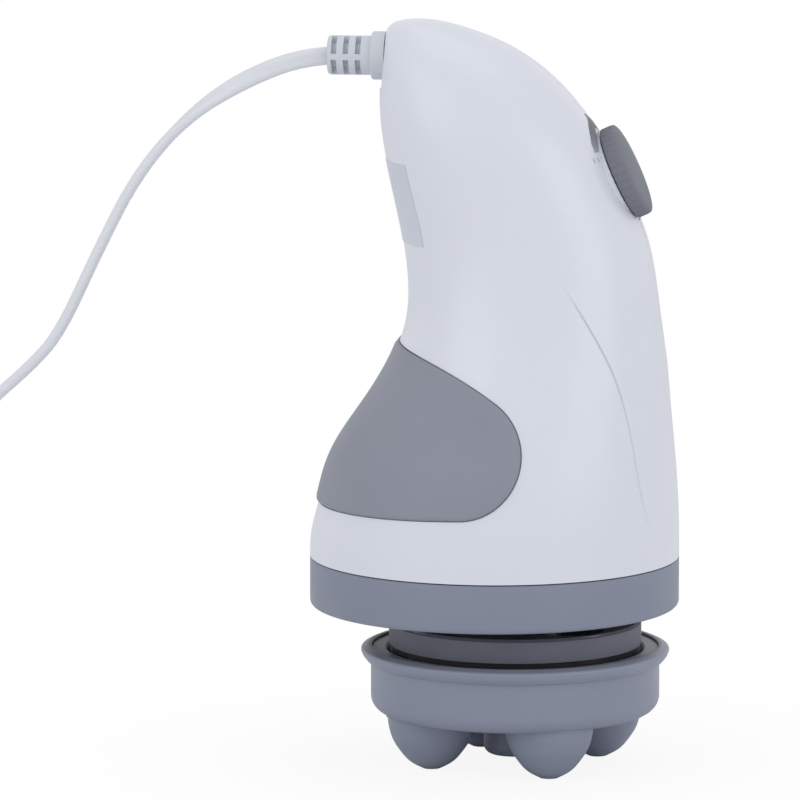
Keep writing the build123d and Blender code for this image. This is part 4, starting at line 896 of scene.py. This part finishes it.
def side_rod(radius, low, high, x, z):
    """A round rod along +Y, from low to high, for a screw's well."""
    return laid_level(closed_turn([(0, low), (radius, low), (radius, high), (0, high)], 40), x, z)


column_places = [(37.9, 77.9), (-37.9, 83.7), (37.9, 129.0), (-15.9, 146.9), (12.5, 195.0), (-23.1, 186.7)]
column_face_y = 9.0
well_radius = 3.2
seat_depth = 0.9
seat_radius = 14.5
recess_half = 8.6
recess_low = 194.9
recess_face_x = -30.95
inlet_x = -31.3
bed_top = 3.0


def make_casing():
    """The casing's halves, less the pad's bed, the dial's seat, the cord's recess and the screws' wells."""
    top, floor = [pad_grid(0.0, [0.0], [lift], 8, lift) for lift in (bed_top, -pad_bed)]
    sides = np.concatenate([pad_grid(0.0, [0.0], [lift], 0, lift) for lift in (bed_top, -pad_bed)])
    bed = cutter("pad_bed", [(top, False, True), (sides, False, True), (floor, False, True)])
    seat_outline = [(0, -seat_depth), (seat_radius, -seat_depth), (seat_radius, 8), (0, 8)]
    seat = cutter("dial_seat", [(at_dial(closed_turn(seat_outline)), True, False)])
    recess_corners = soft_profile([
        (-recess_half, recess_low, 1.2),
        (recess_half, recess_low, 1.2),
        (recess_half, 230.0, 0),
        (-recess_half, 230.0, 0),
    ])
    shape = np.stack([
        np.column_stack([np.full(len(recess_corners), x), recess_corners[:, 0], recess_corners[:, 1]])
        for x in (-60.0, recess_face_x)
    ])
    recess = cutter("inlet_recess", [(capped(shape), False, True)])
    inlet = closed_turn([(0, -4), (3.6, -4), (3.6, 5), (0, 5)], 40)
    inlet = np.stack([inlet_x + inlet[..., 2], inlet[..., 0], cord_height + inlet[..., 1]], -1)
    inlet_hole = cutter("inlet_hole", [(inlet, True, False)])
    wells = [
        cutter(f"screw_well_{k}", [(side_rod(well_radius, column_face_y, 70.0, x, z), True, False)])
        for k, (x, z) in enumerate(column_places)
    ]
    shared = [bed, seat, recess, inlet_hole]
    left = cut(half_mesh(-1, "casing_left"), shared)
    right = cut(half_mesh(1, "casing_right"), shared + wells)
    for mesh, side in ((left, "left"), (right, "right")):
        piece = link_piece(f"casing_{side}", mesh, casing_abs, "casing", 32)
        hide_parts(f"housing_{side}")
    for tool in shared + wells:
        bpy.data.objects.remove(tool)


make_casing()
make_pad()


def screw_columns():
    """The tubes that the casing's screws stand in, seen down the wells of the +Y half."""
    patches = [(side_tube(x, z), True, True) for x, z in column_places]
    mesh = mesh_of("screw_columns", patches)
    link_piece("screw_columns", mesh, casing_abs, "casing")


def side_tube(x, z):
    """A column for a screw: the well's tube over a floor, and a narrower bore below it."""
    reach = well_depth(x, z)
    profile = [(well_radius, column_face_y), (well_radius, reach), (4.2, reach), (4.2, 0.2), (1.7, 0.2)]
    return laid_level(turned(np.array(profile + [(1.7, column_face_y)]), 40), x, z)


def well_depth(x, z):
    """The depth of the skin over a column's outer edge where it lies lowest, less the wall's half."""
    turn = full_turn(16)
    rim_x, rim_z = x + 4.4 * np.cos(turn), z + 4.4 * np.sin(turn)
    angle = angle_at(rim_x, rim_z)
    return float(skin(angle, length_at(rim_z))[:, 1].min()) - 1.2


screw_columns()


def make_dial_boss():
    """The round boss that the dial turns on."""
    profile = soft_profile([(0, -4.2, 0), (12.8, -4.2, 0), (12.8, -seat_depth, 0.3), (0, -seat_depth, 0)])
    mesh = mesh_of("dial_boss", [(at_dial(turned(profile, 96)), True, True)])
    link_piece("dial_boss", mesh, casing_abs, "casing")


make_dial_boss()


# Label and print


film_root = -0.1
label_lift = 0.2
ink_lift = 0.04
label_low = 152.1
label_high = 175.2
label_half_low = 22.3
label_half_high = 21.0


def make_label():
    """A blank film on the neck's back: the casing's skin between two levels, lifted by 0.2 mm."""
    rows = 30
    height = np.linspace(label_low, label_high, rows)
    side = angle_at_width(np.linspace(label_half_low, label_half_high, rows), height)
    share = np.linspace(-1, 1, 2 * rows)[None]
    angle = math.pi + share * (math.pi - side)[:, None]
    level = np.broadcast_to(height[:, None], angle.shape)
    piece = make_film("label_film", angle, level, label_lift, label_film)
    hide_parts("rating_label")


def angle_at_width(half, height):
    """The section angle at the back at which the casing's surface is that far from the middle plane."""
    _, _, _, width, square = body_section(length_at(height))
    share = np.clip(half / width, 0, 1)
    return math.pi - np.arcsin(share ** (square / 2))


def make_film(name, angle, height, lift, finish):
    """A thin plate that follows the casing's skin, from its angles and heights, and stands out by lift."""
    level = length_at(height)
    out, root = [skin(angle, level, np.full(angle.shape, away)) for away in (lift, film_root)]
    ends = [np.stack([out[k], root[k]]) for k in (0, -1)]
    sides = [np.stack([out[:, k], root[:, k]]) for k in (0, -1)]
    mesh = mesh_of(name, [(grid, False, False) for grid in [out, root] + ends + sides])
    return link_piece(name, mesh, finish, "casing")


make_label()


# The printed crescent's height, outer angle and inner angle from the casing's front line.
crescent = np.array([
    (188.3, 0.0, 0.0),
    (187.0, 0.055, 0.0),
    (185.5, 0.178, 0.0),
    (184.4, 0.240, 0.0),
    (183.4, 0.285, 0.080),
    (181.1, 0.370, 0.210),
    (178.6, 0.400, 0.310),
])
mark_angles = (0.24, 0.32, 0.40, 0.48)
mark_low = 176.0
mark_height = 1.2


def make_speed_print():
    """The printed crescent over the dial, in two mirrored halves, and plain marks under each end."""
    across = np.linspace(0, 1, 6)[None]
    height = np.linspace(crescent[0, 0], crescent[-1, 0], 40)
    outer = np.interp(-height, -crescent[:, 0], crescent[:, 1])[:, None]
    inner = np.interp(-height, -crescent[:, 0], crescent[:, 2])[:, None]
    for side, name in ((-1, "near"), (1, "far")):
        angle = side * (inner + (outer - inner) * across)
        level = np.broadcast_to(height[:, None], angle.shape)
        make_film(f"speed_crescent_{name}", angle, level, ink_lift, crescent_ink)
        for k, middle in enumerate(mark_angles):
            angle = side * (middle + np.array([[-0.008, 0.008]]) * np.ones((4, 1)))
            level = mark_low + mark_height * np.linspace(0, 1, 4)[:, None] * np.ones((1, 2))
            make_film(f"speed_mark_{name}_{k}", angle, level, ink_lift, mark_ink)


make_speed_print()


# Ring, cup and dial


def make_base_ring():
    """The ring under the casing, with a rounded lower edge and the spigot that centres the casing."""
    profile = soft_profile([
        (53.0, 46.3, 2.2),
        (53.0, 60.25, 0.35),
        (49.85, 60.25, 0.1),
        (49.85, 64.6, 0.4),
        (47.85, 64.6, 0.4),
        (47.85, 58.5, 0.3),
        (45.2, 58.5, 0.3),
        (45.2, 56.05, 0.2),
        (50.0, 56.05, 0.3),
        (50.0, 46.3, 0.5),
    ])
    mesh = mesh_of("base_ring_cover", [(turned(profile, 256), True, True)])
    piece = link_piece("base_ring_cover", mesh, ring_abs, "casing")
    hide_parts("base_ring")


make_base_ring()

throw = 6.0
dome_circle = 25.8
dome_turn = 28.4


def dome_profile():
    """A dome's outline from a soft skirt at the cup's floor, round its side to the flat it stands on."""
    knots = [0.0, 1.0, 2.0, 3.0, 4.0, 5.0, 6.0, 7.0]
    radius = [12.6, 12.45, 11.5, 10.0, 8.4, 6.9, 5.1, 2.9]
    level = [15.1, 13.0, 9.3, 6.5, 4.3, 2.65, 1.35, 0.2]
    fine = np.linspace(0, 7, 44)
    side = np.stack([spline(knots, radius, fine), spline(knots, level, fine)], 1)
    skirt = np.array([(0, 16.7), (13.2, 16.7), (13.1, 15.25), (12.9, 15.15), (12.7, 15.1)])
    nub = np.array([(2.7, 0.08), (2.4, 0.02), (1.3, 0.0), (0, 0.0)])
    return np.concatenate([skirt, side[1:], nub])


def make_cup():
    """The massage cup: a turned shell with a rolled lip, and domes and a middle boss on their own axes."""
    shell = soft_profile([
        (0, 15.3, 0),
        (41.5, 15.3, 4.6),
        (41.5, 30.05, 0.3),
        (42.6, 30.25, 0.8),
        (43.8, 31.7, 2.0),
        (44.6, 33.6, 0.9),
        (42.2, 34.6, 0.8),
        (41.2, 34.5, 0.3),
        (41.2, 31.8, 0.15),
        (39.3, 31.8, 0.3),
        (39.3, 17.9, 2.2),
        (0, 17.9, 0),
    ], 8)
    patches = [(turned(shell, 256, throw), True, True)]
    for k in range(4):
        turn = math.radians(dome_turn + 90 * k)
        x, y = throw + dome_circle * math.cos(turn), dome_circle * math.sin(turn)
        patches.append((turned(dome_profile(), 80, x, y), True, False))
    boss = soft_profile([
        (0, 16.7, 0),
        (9.9, 16.7, 0),
        (9.8, 15.25, 0),
        (9.0, 14.9, 0.8),
        (9.0, 2.6, 2.6),
        (0, 2.6, 0),
    ])
    patches.append((turned(boss, 80, throw), True, False))
    mesh = mesh_of("massage_cup_cover", patches)
    piece = link_piece("massage_cup_cover", mesh, head_pp, "massage_head", 40)
    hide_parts("massage_cup")


make_cup()

ridge_count = 36
ridge_depth = 0.3


def make_dial():
    """The dial: a low turned cap with a soft crown and ridges round its rim.

    The rim's radius has 0.3 mm taken off by (1 - tanh(3.2 sin 36a)) / 2, a rounded square wave."""
    low, rim, top = -0.55, 3.8, 4.6
    turn = full_turn(ridge_count * 12)
    wave = np.tanh(3.2 * np.sin(ridge_count * turn)) * 0.5 - 0.5
    profile = np.array([
        (11.4, low, 0.0), (13.1, low, 0.5), (13.55, low + 0.12, 0.9), (13.7, low + 0.45, 1.0),
        (13.7, 1.2, 1.0), (13.7, 2.3, 1.0), (13.6, rim - 0.6, 1.0), (13.35, rim - 0.2, 0.7),
        (12.9, rim + 0.08, 0.3), (12.0, rim + 0.3, 0.0), (9.5, rim + 0.52, 0.0), (6.0, rim + 0.68, 0.0),
        (3.0, rim + 0.77, 0.0), (0.0, top, 0.0), (0.0, 1.9, 0.0), (6.0, 1.9, 0.0),
        (11.2, 1.9, 0.0), (11.4, 1.7, 0.0),
    ])
    r = profile[:, 0][None] + ridge_depth * profile[:, 2][None] * wave[:, None]
    height = np.broadcast_to(profile[:, 1], r.shape)
    grid = np.stack([np.cos(turn)[:, None] * r, np.sin(turn)[:, None] * r, height], 2)
    mesh = mesh_of("speed_dial_cover", [(at_dial(grid), True, True)])
    piece = link_piece("speed_dial_cover", mesh, dial_abs, "dial", 40)
    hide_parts("speed_dial")


make_dial()


# Floor and light


def make_floor():
    """A large pale floor at the level that the domes stand on.

    Seen directly it shows part of its own shading near the object, for the shadow there, and plain white
    from a few hundred millimetres on."""
    data = bpy.data.meshes.new("floor")
    side = 6.0
    corners = [(-side, -side, 0), (side, -side, 0), (side, side, 0), (-side, side, 0)]
    data.from_pydata(corners, [], [(0, 1, 2, 3)])
    made = placed("floor", data)
    paper, tree, shader, place = start_material("floor_pale_paper")
    set_inputs(shader, {"Base Color": ink("#F4F4F5"), "Roughness": 0.9, "Specular IOR Level": 0.1})
    away = add(tree, "VectorMath", links={0: place}, operation="LENGTH")
    ends = {"From Min": 0.05, "From Max": 0.16, "To Min": 0.9, "To Max": 1.0}
    share = add(tree, "MapRange", ends, {"Value": away.outputs["Value"]})
    ray = add(tree, "LightPath")
    seen = {0: ray.outputs["Is Camera Ray"], 1: share.outputs["Result"]}
    white_share = add(tree, "Math", links=seen, operation="MULTIPLY")
    white = add(tree, "Emission", {"Strength": 1.0})
    parts = {0: white_share.outputs[0], 1: shader.outputs[0], 2: white.outputs[0]}
    mixed = add(tree, "MixShader", links=parts)
    tree.links.new(mixed.outputs[0], tree.nodes["Material Output"].inputs["Surface"])
    data.materials.append(paper)


make_floor()


def area_light(name, place, aim, size, power, tint):
    """A soft window of light that faces a point."""
    data = bpy.data.lights.new(name, "AREA")
    data.shape = "RECTANGLE"
    data.size, data.size_y = size
    data.energy = power
    data.color = tint
    made = placed(name, data)
    made.location = place
    made.rotation_euler = (Vector(aim) - Vector(place)).to_track_quat("-Z", "Y").to_euler()


area_light("key_window", (-1.3, -1.3, 0.95), (0, 0, 0.11), (1.4, 1.4), 7.5, (1.0, 1.0, 1.0))
area_light("fill_window", (1.5, -0.9, 0.7), (0, 0, 0.11), (1.2, 1.2), 6, (0.97, 0.98, 1.0))
area_light("top_window", (0.1, 0.3, 1.9), (0, 0, 0.1), (1.6, 1.6), 4.5, (1.0, 1.0, 1.0))


def light_world():
    """White for the camera and for reflections, and a softer white as light."""
    world = bpy.data.worlds.new("studio")
    bpy.context.scene.world = world
    world.use_nodes = True
    tree = world.node_tree
    tree.nodes.clear()
    ray = add(tree, "LightPath")
    kinds = {0: ray.outputs["Is Camera Ray"], 1: ray.outputs["Is Glossy Ray"]}
    seen = add(tree, "Math", links=kinds, operation="MAXIMUM")
    ends = {"To Min": 0.68, "To Max": 1.0}
    level = add(tree, "MapRange", ends, {"Value": seen.outputs[0]})
    strength = {"Strength": level.outputs["Result"]}
    sky = add(tree, "Background", {"Color": ink("#FFFFFF")}, strength)
    add(tree, "OutputWorld", links={"Surface": sky.outputs["Background"]})


light_world()
bpy.context.scene.view_settings.view_transform = "Standard"
